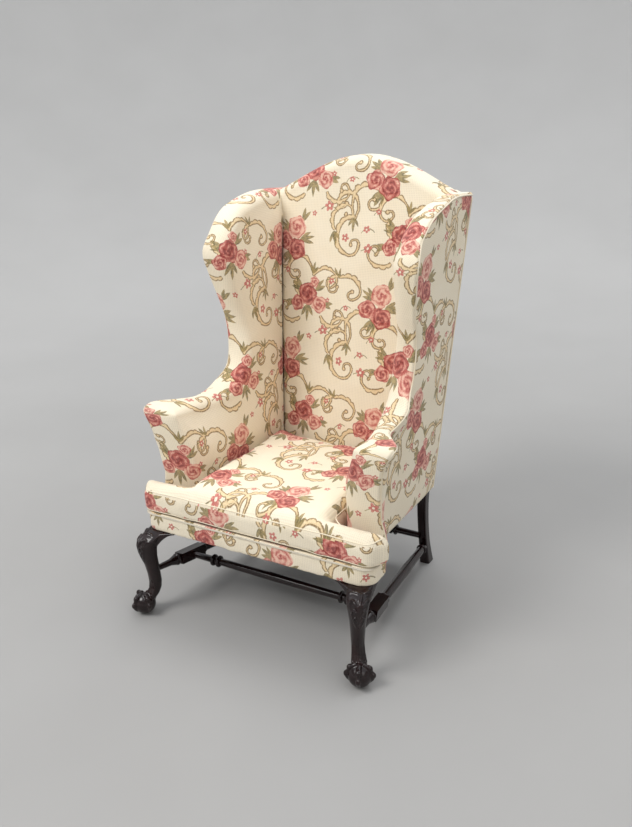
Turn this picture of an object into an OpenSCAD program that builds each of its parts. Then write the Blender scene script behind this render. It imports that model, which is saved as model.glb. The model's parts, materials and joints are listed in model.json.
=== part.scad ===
// Wing chair with cabriole front legs, turned stretchers and a loose T-shaped seat cushion.
// Millimetres, +Z up, the chair faces -Y, the origin is on the floor under the middle of the chair.

/* [Seat] */
// Height of the seat frame's lower edge above the floor
rail_bottom = 244; // [220:1:270]
// Height of the wooden seat rails
rail_height = 47; // [44:1:52]
// Thickness of the wooden seat rails
rail_thick = 28; // [24:1:32]
// Half the width of the seat frame behind the arms
seat_half = 262.5; // [255:0.5:270]
// How far the seat frame sweeps outwards to each front corner
ear_sweep = 79; // [70:1:85]
// Distance from the middle of the chair to the front face of the front rail
front_face = 319; // [312:1:324]
// Radius of the seat frame's front corners
corner_r = 38; // [30:1:44]
// Height of the loose cushion at its side seams
cushion_boxing = 57; // [50:1:60]
// How much higher the crown of the cushion is than its side seams
cushion_crown = 34; // [20:1:40]

/* [Sides] */
// Outward lean of the arms and wings, in degrees
side_lean = 3.2; // [2:0.1:4]
// Thickness of the padded inside of an arm or wing
side_pad_thick = 26; // [20:1:28]
// Width of the outward flare at the front of an arm
arm_flare = 54; // [40:1:60]
// Height of the arm rail's lower edge above the floor
arm_rail_z = 520; // [500:1:530]

/* [Back] */
// Backward rake of the back, in degrees
back_rake = 8.6; // [7:0.1:9.5]
// Height of the crest at the middle of the back
crest_z = 1178; // [1160:1:1190]
// Height of the back at its shoulders
shoulder_z = 1074; // [1066:1:1082]

/* [Legs] */
// Sideways distance from the middle of the chair to each front foot
foot_x = 336; // [328:1:340]
// Distance that the front feet stand forward of the middle of the chair
foot_y = 366; // [360:1:368]
// Radius of the ball in each claw foot
ball_r = 31; // [28:1:33]
// Radius of a front leg at its ankle
ankle_r = 16; // [14:1:18]
// Width of a rear leg
rear_leg_w = 28; // [26:1:30]

/* [Hidden] */

LEFT = -1;
RIGHT = 1;
WOOD = [0.20, 0.11, 0.09];
BEECH = [0.72, 0.55, 0.36];
CLOTH = [0.93, 0.88, 0.76];
ROSE = [0.74, 0.38, 0.38];
FELT = [0.86, 0.84, 0.80];
JUTE = [0.66, 0.54, 0.36];
STEEL = [0.55, 0.56, 0.58];

// Clearance between faces that only lie beside each other
gap = 0.3;
rail_top = rail_bottom + rail_height;
cover_thick = 3;

// Layers of an arm and wing, measured inwards from the outside of the chair
frame_in = cover_thick;
frame_out = frame_in + rear_leg_w;
stuff_out = frame_out + side_pad_thick;
inner_face = stuff_out + cover_thick;
side_x = seat_half + cover_thick + 0.5;

// Layers of the back, measured backwards from the face that the sitter leans on
back_foot_y = 175;
back_cover = 2.5;
back_frame_in = 22.7;
back_frame_out = 54.4;
back_wadding_out = 77.7;
back_total = 80.7;
// Rails that meet the front of the leaning back posts stop just short of them
frame_joint = back_frame_in - 0.6;

// Depth at a height z of a plane lying n behind the face of the back
function back_y(n, z) = back_foot_y + (z - rail_bottom) * tan(back_rake) + n / cos(back_rake);
// Width from the middle of the chair to a side layer lying w inside its outer face
function side_at(w, z) = side_x + (z - rail_bottom) * tan(side_lean) - w / cos(side_lean);
// An even step from 0 to 1, level at both ends
function ease(t) = t <= 0 ? 0 : t >= 1 ? 1 : t * t * (3 - 2 * t);
function arc(cx, cy, r, a0, a1, n) = [for (i = [0:n]) let (a = a0 + (a1 - a0) * i / n)
    [cx + r * cos(a), cy + r * sin(a)]];
// One point of a smooth curve through four neighbouring points
function knot(a, b, c, d, t) = 0.5 * (2 * b + (c - a) * t + (2 * a - 5 * b + 4 * c - d) * t * t
    + (3 * b - a - 3 * c + d) * t * t * t);
// A smooth curve through a list of points
function smooth(p, n) = let (last = len(p) - 1) [for (i = [0:last - 1], j = [0:n - 1])
    knot(p[max(i - 1, 0)], p[i], p[i + 1], p[min(i + 2, last)], j / n), p[last]];
function flat_mirror(p) = [for (i = [len(p) - 1:-1:0]) [-p[i][0], p[i][1]]];
// Unit vector square to a curve, pointing to its right-hand side as it is drawn
function square_to(p, i) = let (d = p[min(i + 1, len(p) - 1)] - p[max(i - 1, 0)])
    [d[1], -d[0]] / norm(d);
function beside(p, w) = [for (i = [0:len(p) - 1]) p[i] + w * square_to(p, i)];
function backwards(p) = [for (i = [len(p) - 1:-1:0]) p[i]];

// Seat frame in plan, grown by g: parallel sides, swept out to two rounded front corners
sweep_start = -118;
sweep_end = -250;
ear_half = seat_half + ear_sweep;
function seat_side(g) = [for (i = [0:8]) let (y = sweep_start + (sweep_end - sweep_start) * i / 8)
    [seat_half + ear_sweep * ease(i / 8) + g, y]];
function front_corner(g) = arc(ear_half - corner_r, corner_r - front_face, corner_r + g, 0, -90, 8);
function seat_front(g, back) = concat([[seat_half + g, back]], seat_side(g), front_corner(g));
function seat_plan(g, back) = concat(seat_front(g, back), flat_mirror(seat_front(g, back)));

// Side outline of a wing from its top rear corner down its front edge and along the arm
WING_EDGE = [[381, 1078], [221, 1077], [147, 1066], [85, 1050], [38, 1018], [0, 972], [-13, 936],
    [-4, 890], [18, 814], [36, 758], [41, 699], [30, 640], [0, 600], [-45, 577], [-105, 568],
    [-165, 570], [-205, 574], [-236, 566]];
edge_steps = 3;
wing_edge = smooth(WING_EDGE, edge_steps);
arm_front_y = -238;
// Outline of a whole side, closed by a rear line n behind the face of the back
wing_top = 1076;
function side_edge(n, inset) = [for (q = beside(wing_edge, -inset)) if (q[0] < back_y(n + 1, q[1])) q];
function side_close(n, low, inset) = [[back_y(n, low), low],
    [back_y(n, wing_top - inset), wing_top - inset]];
function side_outline(low, n, inset) = concat(side_edge(n, inset), [[arm_front_y + inset, low]],
    side_close(n, low, inset));
// Turn heights above the floor into lengths up a leaning side or back
function up_side(p) = [for (q = p) [q[0], (q[1] - rail_bottom) / cos(side_lean)]];

// Top line of the back, x from the middle to a shoulder
crest_half = 296;
function crest_at(x, drop) = shoulder_z - drop + (crest_z - shoulder_z)
    * pow(0.5 + 0.5 * cos(180 * min(abs(x) / crest_half, 1)), 0.65);
function up_back(z, n) = (z - rail_bottom + n * sin(back_rake)) / cos(back_rake);
function crest_line(half, drop, n) = [for (i = [-16:16]) let (x = half * i / 16)
    [x, up_back(crest_at(x, drop), n)]];
// A back panel in its own plane: straight foot, leaning edges lying w inside, arched top
function back_panel(w, low, drop, n) = let (top = side_at(w, shoulder_z - drop))
    concat([[side_at(w, low), up_back(low, n)]], backwards(crest_line(top, drop, n)),
    [[-side_at(w, low), up_back(low, n)]]);

// Draw on one side of the chair: the children are drawn for the right-hand side
module on(s) mirror([s < 0 ? 1 : 0, 0, 0]) children();
// Extrude a (depth, height) outline sideways from x0 to x1
module across(x0, x1) translate([x0, 0, 0]) rotate([90, 0, 90]) linear_extrude(x1 - x0) children();
// Extrude an outline drawn on a leaning side, between two of its layers
module side_layer(s, w0, w1) on(s) translate([side_x, 0, rail_bottom]) rotate([0, side_lean, 0])
    across(-w1, -w0) children();
// Extrude an outline drawn on the raked back, between two of its layers
module back_layer(n0, n1) translate([0, back_foot_y, rail_bottom]) rotate([-back_rake, 0, 0])
    translate([0, n1, 0]) rotate([90, 0, 0]) linear_extrude(n1 - n0) children();
// Stand a turned profile along the line from a to b
module along(a, b) {
    d = b - a;
    translate(a) rotate([0, acos(d[2] / norm(d)), atan2(d[1], d[0])]) children();
}
module bead(r, h, z) translate([0, 0, z]) rotate_extrude($fn = 32)
    polygon(concat([[0, -h / 2]], arc(r - h / 2, 0, h / 2, -90, 90, 6), [[0, h / 2]]));
module taper(r0, r1, z0, z1) translate([0, 0, z0]) cylinder(r1 = r0, r2 = r1, h = z1 - z0, $fn = 32);

// Front leg: corner block, knee, ankle and claw foot
block_in = 281;
block_back = -262;
root = [308, -290, 222];
knee = [322, -344, 212];
shin = [320, -343, 168];
ankle = [315, -335, 92];
heel = [320, -343, 54];
foot = [foot_x, -foot_y, ball_r - 2];
talon_r = 7;
module leg_part(a, ra, b, rb) hull() {
    translate(a) sphere(ra, $fn = 24);
    translate(b) sphere(rb, $fn = 24);
}
module talon(turn) translate(foot) rotate([0, 0, turn]) hull() {
    rotate([0, 25, 0]) translate([ball_r - 1, 0, 0]) sphere(talon_r, $fn = 12);
    rotate([0, -40, 0]) translate([ball_r - 3, 0, 0]) sphere(talon_r + 1, $fn = 12);
}
module front_leg(s) color(WOOD) on(s) {
    intersection() {
        translate([block_in, -front_face, rail_bottom - 4])
            cube([ear_half - block_in, block_back + front_face, rail_height + 4]);
        linear_extrude(rail_top) polygon(seat_plan(0, 100));
    }
    intersection() {
        union() {
            leg_part(root, 28, knee, 26);
            leg_part(knee, 26, shin, 21);
            leg_part(shin, 21, ankle, ankle_r);
            leg_part(ankle, ankle_r, heel, 17);
            leg_part(heel, 17, foot, ball_r);
            for (turn = [-65, 25, 155, 245]) talon(turn);
        }
        translate([0, -500, 0]) cube([500, 500, rail_bottom - 3]);
    }
}

// Knee bracket: a block with a hollow curve under it, glued in the angle of leg and rail
bracket = 46;
bracket_thick = 22;
module bracket_shape() difference() {
    square([bracket, bracket]);
    translate([bracket, bracket]) circle(bracket - 4, $fn = 48);
}
knee_side = 282;
knee_back = -264;
module front_knee_bracket(s) color(WOOD) on(s)
    translate([knee_side - 2, 0, rail_bottom - gap]) rotate([0, 180, 0])
    translate([0, bracket_thick - front_face, 0]) rotate([90, 0, 0])
    linear_extrude(bracket_thick) bracket_shape();
module side_knee_bracket(s) color(WOOD) on(s)
    translate([ear_half - 12 - bracket_thick, knee_back + 4, rail_bottom - gap])
    mirror([0, 0, 1]) across(0, bracket_thick) bracket_shape();

// Rear leg: raked foot below the seat, back post above it
rear_kick = 28;
post_top = 1028;
leg_x = side_x - frame_out;
leg_join = rail_bottom + 14;
module rear_leg(s) {
    color(WOOD) on(s) across(leg_x, leg_x + rear_leg_w) polygon([
        [back_y(back_frame_in, rail_bottom) + rear_kick, 0],
        [back_y(back_frame_out, rail_bottom) + rear_kick, 0],
        [back_y(back_frame_out, 120) + 12, 120],
        [back_y(back_frame_out, leg_join), leg_join],
        [back_y(back_frame_in, leg_join), leg_join],
        [back_y(back_frame_in, 120) + 12, 120]]);
    color(WOOD) side_layer(s, frame_in + 0.5, frame_out) polygon(up_side([
        [back_y(back_frame_in, rail_bottom), rail_bottom],
        [back_y(back_frame_out, rail_bottom), rail_bottom],
        [back_y(back_frame_out, post_top), post_top],
        [back_y(back_frame_in, post_top), post_top]]));
}

// Stretchers: the side ones slope down to the rear and carry the cross stretcher in a square block
side_front = [315, -328, 124];
side_rear = [leg_x + rear_leg_w / 2, 236, 62];
side_length = norm(side_rear - side_front);
cross_at = 132;
plain_end = 36;
block_half = 46;
block_side = 31;
cross_y = side_front[1] + cross_at * (side_rear - side_front)[1] / side_length;
cross_x = side_front[0] + cross_at * (side_rear - side_front)[0] / side_length;
cross_z = side_front[2] + cross_at * (side_rear - side_front)[2] / side_length;
module side_stretcher(s) color(WOOD) on(s) along(side_front, side_rear) {
    taper(8, 10, 0, plain_end + 16);
    taper(10, 15, plain_end + 16, plain_end + 34);
    taper(15, 12, plain_end + 34, cross_at - block_half);
    bead(17, 8, plain_end + 40);
    rotate([0, 0, 7]) translate([-block_side / 2, -block_side / 2, cross_at - block_half])
        cube([block_side, block_side, 2 * block_half]);
    bead(16, 9, cross_at + block_half + 4);
    taper(12, 14, cross_at + block_half, side_length - 190);
    taper(14, 11, side_length - 190, side_length - 50);
    bead(15, 9, side_length - 44);
    taper(12, 9, side_length - 50, side_length);
}
cross_reach = cross_x - 8;
cross_bead = 197;
module cross_stretcher() color(WOOD) translate([0, cross_y, cross_z]) {
    rotate([0, -90, 0]) taper(12, 9, 0, cross_reach);
    rotate([0, 90, 0]) taper(12, 9, 0, cross_reach);
    for (x = [-cross_bead - 18, -cross_bead, cross_bead, cross_bead + 18])
        translate([x, 0, 0]) rotate([0, 90, 0]) bead(17, 10, 0);
}
rear_stretcher_z = 104;
rear_stretcher_y = back_y(back_frame_in, rear_stretcher_z) + 30;
rear_reach = leg_x + 8;
rear_bead = 150;
module rear_stretcher() color(WOOD) translate([0, rear_stretcher_y, rear_stretcher_z]) {
    rotate([0, -90, 0]) taper(12, 9, 0, rear_reach);
    rotate([0, 90, 0]) taper(12, 9, 0, rear_reach);
    for (x = [-rear_bead - 15, -rear_bead, rear_bead, rear_bead + 15])
        translate([x, 0, 0]) rotate([0, 90, 0]) bead(16, 9, 0);
}

// Seat frame
// The seat webbing is tacked under the rails, in this height
web_room = 5;
module front_seat_rail() color(BEECH)
    translate([-block_in, -front_face, rail_bottom + web_room])
    cube([2 * block_in, rail_thick, rail_height - web_room]);
module side_seat_rail(s) color(BEECH) on(s) intersection() {
    translate([leg_x, block_back, rail_bottom + web_room])
        cube([120, 600, rail_height - web_room]);
    linear_extrude(rail_top) polygon(seat_plan(0, 300));
    across(0, 400) polygon([[-400, 0], [back_y(frame_joint, 0), 0],
        [back_y(frame_joint, 400), 400], [-400, 400]]);
}
module rear_seat_rail() color(BEECH) back_layer(back_frame_in, back_frame_out)
    translate([gap - leg_x, 16]) square([2 * (leg_x - gap), rail_height - 12]);
block_low = rail_bottom + 10;
block_tall = rail_height - 20;
rear_rail_y = back_y(back_frame_in, rail_bottom) - gap;
module corner_blocks() color(BEECH) for (s = [LEFT, RIGHT]) on(s) translate([0, 0, block_low])
    linear_extrude(block_tall) {
        polygon([[block_in, rail_thick - front_face], [block_in, block_back], [leg_x, block_back],
            [leg_x, block_back + 40], [leg_x - 46, rail_thick - front_face]]);
        polygon([[leg_x, rear_rail_y], [leg_x, rear_rail_y - 60], [leg_x - 60, rear_rail_y]]);
    }
screw_r = 3;
module corner_screw(x, y) translate([x, y, block_low - 3]) {
    cylinder(r = screw_r + 2, h = 3, $fn = 24);
}
module corner_screws() color(STEEL) for (s = [LEFT, RIGHT]) on(s) {
    corner_screw(leg_x - 4, rail_thick - front_face + 12);
    corner_screw(leg_x + 20, block_back - 14);
    corner_screw(leg_x - 14, rear_rail_y - 20);
    corner_screw(leg_x - 26, rear_rail_y - 10);
}

// Back frame
crest_low = post_top + 2;
module crest_rail() color(BEECH) back_layer(back_frame_in, back_frame_out)
    polygon(concat([[side_at(6, crest_low), up_back(crest_low, 55)]],
        backwards(crest_line(side_at(6, shoulder_z), 8, 23)),
        [[-side_at(6, crest_low), up_back(crest_low, 55)]]));
lower_rail_z = 352;
module lower_back_rail() color(BEECH) back_layer(back_frame_in, back_frame_out)
    translate([gap - side_at(frame_out, lower_rail_z), up_back(lower_rail_z, 30)])
    square([2 * (side_at(frame_out, lower_rail_z) - gap), 45]);

// Arm and wing frame
arm_post_front = arm_front_y + 12;
arm_rail_tall = 28;
tack_rail_z = 318;
module side_bar(s, p) color(BEECH) side_layer(s, frame_in + 0.5, frame_out) polygon(up_side(p));
module arm_post(s) side_bar(s, [[arm_post_front, rail_top + 1], [arm_post_front, arm_rail_z],
    [arm_post_front + 42, arm_rail_z], [arm_post_front + 36, rail_top + 1]]);
module arm_rail(s) side_bar(s, [[arm_post_front, arm_rail_z],
    [arm_post_front, arm_rail_z + arm_rail_tall],
    [back_y(frame_joint, arm_rail_z + arm_rail_tall), arm_rail_z + arm_rail_tall],
    [back_y(frame_joint, arm_rail_z), arm_rail_z]]);
tack_rail_tall = 24;
module arm_tack_rail(s) side_bar(s, [[arm_post_front + 37, tack_rail_z],
    [arm_post_front + 38, tack_rail_z + tack_rail_tall],
    [back_y(frame_joint, tack_rail_z + tack_rail_tall), tack_rail_z + tack_rail_tall],
    [back_y(frame_joint, tack_rail_z), tack_rail_z]]);
// The wing post follows the wing's front edge, a roll's width inside it
roll_thick = 13;
post_wide = 36;
wing_low = 5 * edge_steps;
wing_high = 11 * edge_steps;
post_line = [for (i = [wing_low:wing_high]) wing_edge[i]];
wing_rail_z = 985;
module wing_post(s) side_bar(s, concat([[post_line[0][0] + 60, wing_rail_z - 5]],
    beside(post_line, -roll_thick),
    [[50, arm_rail_z + arm_rail_tall + 20], [50, arm_rail_z + arm_rail_tall],
    [92, arm_rail_z + arm_rail_tall]],
    backwards(beside([for (i = [wing_low + 3:wing_high - 3]) wing_edge[i]],
        -roll_thick - post_wide))));
module wing_rail(s) side_bar(s, [[38, wing_rail_z], [58, 1016], [110, 1042],
    [170, 1050], [back_y(frame_joint, 1056), 1056], [back_y(frame_joint, 1026), 1026],
    [150, 1018]]);

// Seat deck: webbing, springs, hessian, stitched pad and its cover
deck_x = leg_x - gap;
deck_front = rail_thick - front_face + gap;
deck_back = rear_rail_y - gap;
web_wide = 50;
web_thick = 2;
web_pitch = 92;
web_low = rail_bottom + 1;
web_end = deck_back + 22;
module seat_webbing() color(JUTE) {
    for (i = [-2:2]) translate([i * web_pitch - web_wide / 2, -front_face + 4, web_low + web_thick])
        cube([web_wide, web_end + front_face - 4, web_thick - 0.2]);
    for (i = [0:4]) translate([-leg_x - 20, deck_front + 34 + i * web_pitch, web_low])
        cube([2 * leg_x + 40, web_wide, web_thick - 0.2]);
}
spring_low = web_low + 2 * web_thick + 1;
spring_tall = 27;
spring_turns = 4;
spring_wire = 1.6;
spring_r = 32;
spring_steps = 10 * spring_turns;
function spring_ring(i) = let (t = i / spring_steps, a = 360 * spring_turns * t,
    r = spring_r * (0.7 + 1.2 * (t - 0.5) * (t - 0.5)))
    [for (k = [0:4]) let (b = 72 * k) [(r + spring_wire * cos(b)) * cos(a),
        (r + spring_wire * cos(b)) * sin(a), spring_tall * t + spring_wire * sin(b)]];
spring_points = [for (i = [0:spring_steps], p = spring_ring(i)) p];
spring_faces = concat([[4, 3, 2, 1, 0]],
    [[for (k = [0:4]) 5 * spring_steps + k]],
    [for (i = [0:spring_steps - 1], k = [0:4]) let (a = 5 * i, b = (k + 1) % 5)
        [a + k, a + b, a + 5 + b, a + 5 + k]]);
module seat_springs() color(STEEL) for (x = [-1:1], y = [-1:1])
    translate([x * 130, y * 135 - 45, spring_low + spring_wire])
    polyhedron(spring_points, spring_faces, convexity = 4);
hessian_z = spring_low + spring_tall + 2 * spring_wire + 0.4;
module deck_plate(z0, z1) translate([-deck_x, deck_front, z0])
    cube([2 * deck_x, deck_back - deck_front, z1 - z0]);
module cut_corners() difference() {
    children();
    for (s = [LEFT, RIGHT]) on(s) translate([0, 0, block_low - 1]) linear_extrude(100) {
        polygon([[leg_x + 5, -front_face], [leg_x + 5, block_back + 46],
            [leg_x - 53, rail_thick - front_face - 1]]);
        polygon([[leg_x + 5, rear_rail_y + 5], [leg_x + 5, rear_rail_y - 68],
            [leg_x - 68, rear_rail_y + 5]]);
    }
}
module spring_hessian() color(JUTE) cut_corners() deck_plate(hessian_z, hessian_z + 1.2);
module deck_pad() color(FELT) cut_corners() deck_plate(hessian_z + 1.4, rail_top);
deck_top = rail_top + cover_thick;
cushion_half = side_at(inner_face, deck_top) - gap;
// T-shaped plan of the cushion, shrunk by g
ear_back = -267;
function tee_half(g) = concat([[cushion_half - g, back_y(0, deck_top) - 1 - g],
    [cushion_half - g, ear_back - g]], arc(ear_half + 3 - 12, ear_back - 12, 12 - g, 90, 0, 4),
    arc(ear_half + 3 - corner_r, corner_r - front_face - 3, corner_r - g, 0, -90, 8));
function tee(g) = concat(tee_half(g), flat_mirror(tee_half(g)));
module deck_cover() color(FELT) translate([0, 0, rail_top + 0.2])
    linear_extrude(cover_thick - 0.4) polygon(tee(2));
module dust_cover() color([0.12, 0.12, 0.12]) difference() {
    translate([-leg_x - 8, -front_face + 8, rail_bottom + 0.2])
        cube([2 * leg_x + 16, rear_rail_y + front_face - 10, 0.6]);
    for (s = [LEFT, RIGHT]) on(s) {
        translate([block_in - 4, -front_face - 1, 0]) cube([100, 70, 400]);
        translate([knee_side - bracket - 6, -front_face - 1, 0]) cube([100, bracket_thick + 3, 400]);
    }
}

// Back upholstery
module back_webbing() color(JUTE) {
    back_layer(back_frame_in - 4.2, back_frame_in - 2.6) for (x = [-110, 0, 110])
        translate([x - 25, up_back(lower_rail_z + 10, 23)]) square([50, crest_low - lower_rail_z + 6]);
    back_layer(back_frame_in - 2.4, back_frame_in - 0.8) for (z = [470, 620, 770, 920])
        translate([-side_at(frame_out - 8, z), up_back(z, 23)])
        square([2 * side_at(frame_out - 8, z), 50]);
}
module back_stuffing() color(FELT) back_layer(back_cover + 0.1, back_frame_in - 4.4)
    polygon(back_panel(inner_face + 3, deck_top + 2, 6, 12));
module inside_back_cover() color(CLOTH) back_layer(0, back_cover)
    polygon(back_panel(inner_face + 1, deck_top + 2, 0, 2));
module outside_back_wadding() color(FELT) back_layer(back_frame_out + 0.7, back_wadding_out - 0.1)
    polygon(back_panel(cover_thick + 3, rail_bottom + 2, 4, back_wadding_out));
module outside_back_cover() color(CLOTH) back_layer(back_wadding_out, back_total)
    polygon(back_panel(cover_thick + 1, rail_bottom, 0, back_total));

// Side upholstery
side_low = rail_top + 4;
module side_stuffing(s) color(FELT) side_layer(s, frame_out + 0.2, stuff_out - 0.1)
    polygon(up_side(side_outline(side_low, back_frame_in - 5, 2)));
module inside_wing_cover(s) color(CLOTH) side_layer(s, stuff_out, inner_face)
    polygon(up_side(side_outline(side_low, back_frame_in - 5, 0)));
roll_line = [for (i = [3:len(wing_edge) - 1]) wing_edge[i]];
module edge_roll(s) color(FELT) side_layer(s, frame_in + 0.2, frame_out)
    polygon(up_side(concat(beside(roll_line, -0.5), backwards(beside(roll_line, 0.3 - roll_thick)))));
module outside_wing_cover(s) color(CLOTH) side_layer(s, 0, cover_thick)
    polygon(up_side(concat(side_edge(back_total, 0), [[arm_front_y, side_low],
        [sweep_start + 2, side_low], [sweep_start + 2, rail_bottom]],
        side_close(back_total, rail_bottom, 0))));
// Arm facing: the padded front of the arm, flaring outwards behind its rounded nose
nose = 27;
facing_start = -112;
function flare_at(y) = arm_flare * ease((facing_start - y) / 128);
facing_plan = concat([for (i = [1:8]) let (y = facing_start + (arm_front_y - facing_start) * i / 8)
    [flare_at(y) + gap, y]], [for (i = [1:8]) let (a = 180 * i / 8, mid = (arm_flare - inner_face) / 2)
    [mid + (arm_flare + inner_face) / 2 * cos(a), arm_front_y - gap - nose * sin(a)]],
    [[gap, arm_front_y - gap], [gap, facing_start]]);
facing_top = [[-230, 571], [-200, 573.5], [-165, 569.5], [-105, 567.5]];
module arm_facing(s) color(CLOTH) on(s) intersection() {
    translate([side_x, 0, rail_bottom]) rotate([0, side_lean, 0])
        translate([0, 0, side_low - rail_bottom]) linear_extrude(320) polygon(facing_plan);
    across(100, 500) polygon(concat([[-400, side_low], [-400, 566], [-262, 566]], facing_top,
        [[-100, 567.5], [-100, side_low]]));
}
module rail_cover() color(CLOTH) translate([0, 0, rail_bottom]) linear_extrude(rail_height)
    difference() {
        polygon(seat_plan(3.5, sweep_start + 1));
        polygon(seat_plan(0.1, sweep_start + 1));
        translate([-300, sweep_start + 0.9]) square([600, 10]);
        translate([-280, -280]) square([560, 200]);
    }

// Loose seat cushion
cushion_low = deck_top + gap;
seam_z = cushion_low + cushion_boxing;
crown_in = 60;
skin = 2;
function tee_crown(g) = [for (p = tee(0)) [p[0] * (1 - g / 345), (p[1] + 65) * (1 - g / 258) - 65]];
module crown(g, z0, z1) hull() {
    translate([0, 0, z0]) linear_extrude(0.5) polygon(tee_crown(g));
    translate([0, 0, z0 + (z1 - z0) * 0.7]) linear_extrude(0.5) polygon(tee_crown(g + crown_in / 2));
    translate([0, 0, z1 - 0.5]) linear_extrude(0.5) polygon(tee_crown(g + crown_in * 1.6));
}
module crowned_tee(g, z0, z1) intersection() {
    crown(g, z0, z1);
    translate([0, 0, z0]) linear_extrude(z1 - z0) polygon(tee(g));
}
module cushion_core() color(FELT) {
    translate([0, 0, cushion_low + skin + 0.1])
        linear_extrude(cushion_boxing - skin - 0.2) polygon(tee(skin + 0.2));
}
module cushion_top_cover() color(ROSE) crowned_tee(0.1, seam_z, seam_z + cushion_crown);
module cushion_boxing_band() color(CLOTH) translate([0, 0, cushion_low + skin])
    linear_extrude(cushion_boxing - skin - 0.1) difference() {
        polygon(tee(0));
        polygon(tee(skin));
    }
module cushion_bottom_cover() color(CLOTH) translate([0, 0, cushion_low])
    linear_extrude(skin - 0.1) polygon(tee(0));
module cushion_zip() color(STEEL) translate([-150, back_y(0, deck_top) - 0.9, seam_z - 34])
    cube([300, 1.2, 10]);

front_leg(LEFT);  // front_leg_left
front_leg(RIGHT);  // front_leg_right
rear_leg(LEFT);  // rear_leg_left
rear_leg(RIGHT);  // rear_leg_right
front_knee_bracket(LEFT);  // front_knee_bracket_left
front_knee_bracket(RIGHT);  // front_knee_bracket_right
side_knee_bracket(LEFT);  // side_knee_bracket_left
side_knee_bracket(RIGHT);  // side_knee_bracket_right
side_stretcher(LEFT);  // side_stretcher_left
side_stretcher(RIGHT);  // side_stretcher_right
cross_stretcher();
rear_stretcher();
front_seat_rail();
side_seat_rail(LEFT);  // side_seat_rail_left
side_seat_rail(RIGHT);  // side_seat_rail_right
rear_seat_rail();
corner_blocks();
corner_screws();
crest_rail();
lower_back_rail();
arm_post(LEFT);  // arm_post_left
arm_post(RIGHT);  // arm_post_right
arm_rail(LEFT);  // arm_rail_left
arm_rail(RIGHT);  // arm_rail_right
arm_tack_rail(LEFT);  // arm_tack_rail_left
arm_tack_rail(RIGHT);  // arm_tack_rail_right
wing_post(LEFT);  // wing_post_left
wing_post(RIGHT);  // wing_post_right
wing_rail(LEFT);  // wing_rail_left
wing_rail(RIGHT);  // wing_rail_right
seat_webbing();
seat_springs();
spring_hessian();
deck_pad();
deck_cover();
dust_cover();
back_webbing();
back_stuffing();
inside_back_cover();
outside_back_wadding();
outside_back_cover();
side_stuffing(LEFT);  // side_stuffing_left
side_stuffing(RIGHT);  // side_stuffing_right
inside_wing_cover(LEFT);  // inside_wing_cover_left
inside_wing_cover(RIGHT);  // inside_wing_cover_right
edge_roll(LEFT);  // edge_roll_left
edge_roll(RIGHT);  // edge_roll_right
outside_wing_cover(LEFT);  // outside_wing_cover_left
outside_wing_cover(RIGHT);  // outside_wing_cover_right
arm_facing(LEFT);  // arm_facing_left
arm_facing(RIGHT);  // arm_facing_right
rail_cover();
cushion_core();
cushion_top_cover();
cushion_boxing_band();
cushion_bottom_cover();
cushion_zip();
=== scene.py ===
"""Wing chair: covers, cushion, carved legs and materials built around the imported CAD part.

Metres throughout, in the CAD part's own frame: +Z up, the chair faces -Y, floor at z = 0.
"""

import json
import math

import bmesh
import bpy
import numpy as np
from mathutils import Matrix, Vector, noise
from mathutils.bvhtree import BVHTree


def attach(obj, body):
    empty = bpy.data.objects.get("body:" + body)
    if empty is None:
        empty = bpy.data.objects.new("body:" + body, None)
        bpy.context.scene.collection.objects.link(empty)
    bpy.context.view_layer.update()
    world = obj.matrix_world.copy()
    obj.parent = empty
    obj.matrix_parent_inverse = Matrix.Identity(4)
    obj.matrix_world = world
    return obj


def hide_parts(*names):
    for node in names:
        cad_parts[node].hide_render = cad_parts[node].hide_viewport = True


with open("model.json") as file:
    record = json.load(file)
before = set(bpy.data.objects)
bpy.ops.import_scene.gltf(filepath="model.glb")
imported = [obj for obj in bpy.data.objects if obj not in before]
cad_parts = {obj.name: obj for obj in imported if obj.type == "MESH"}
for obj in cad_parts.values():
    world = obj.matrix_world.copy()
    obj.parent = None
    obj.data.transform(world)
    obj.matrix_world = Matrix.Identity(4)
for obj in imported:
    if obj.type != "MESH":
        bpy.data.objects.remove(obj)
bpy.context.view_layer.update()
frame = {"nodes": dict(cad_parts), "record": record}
BODY, LOOSE = "chair", "cushion"
LEFT, RIGHT = -1, 1

# ---------------------------------------------------------------- sizes shared with the CAD part
RAIL_BOTTOM, RAIL_TOP = 0.244, 0.291
SEAT_HALF, EAR_SWEEP = 0.2625, 0.079
SWEEP_START, SWEEP_END = -0.118, -0.250
FRONT_FACE, CORNER_R = 0.319, 0.038
EAR_HALF = SEAT_HALF + EAR_SWEEP
SIDE_X, SIDE_LEAN = 0.266, math.radians(3.2)
BACK_Y, BACK_RAKE = 0.175, math.radians(8.6)
BACK_TOTAL = 0.0765
INNER_FACE = 0.060
CREST_Z, SHOULDER_Z, CREST_HALF = 1.178, 1.074, 0.296
DECK_TOP = 0.294
CUSHION_LOW, CUSHION_BOXING, CUSHION_CROWN = 0.2943, 0.057, 0.034
WING_EDGE = [(376, 1080), (300, 1085), (221, 1084), (147, 1071), (85, 1051), (38, 1018), (0, 972),
             (-13, 936), (-4, 890), (18, 814), (36, 758), (41, 699), (30, 640), (0, 600), (-45, 577),
             (-105, 568), (-165, 570), (-205, 574), (-236, 575), (-256, 569), (-265, 553),
             (-263, 520), (-257, 481), (-250, 444), (-245, 405), (-240, 377), (-236, 340),
             (-233, 300)]


def ease(t):
    t = np.clip(t, 0, 1)
    return t * t * (3 - 2 * t)


def back_y(n, z):
    return BACK_Y + (z - RAIL_BOTTOM) * math.tan(BACK_RAKE) + n / math.cos(BACK_RAKE)


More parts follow.
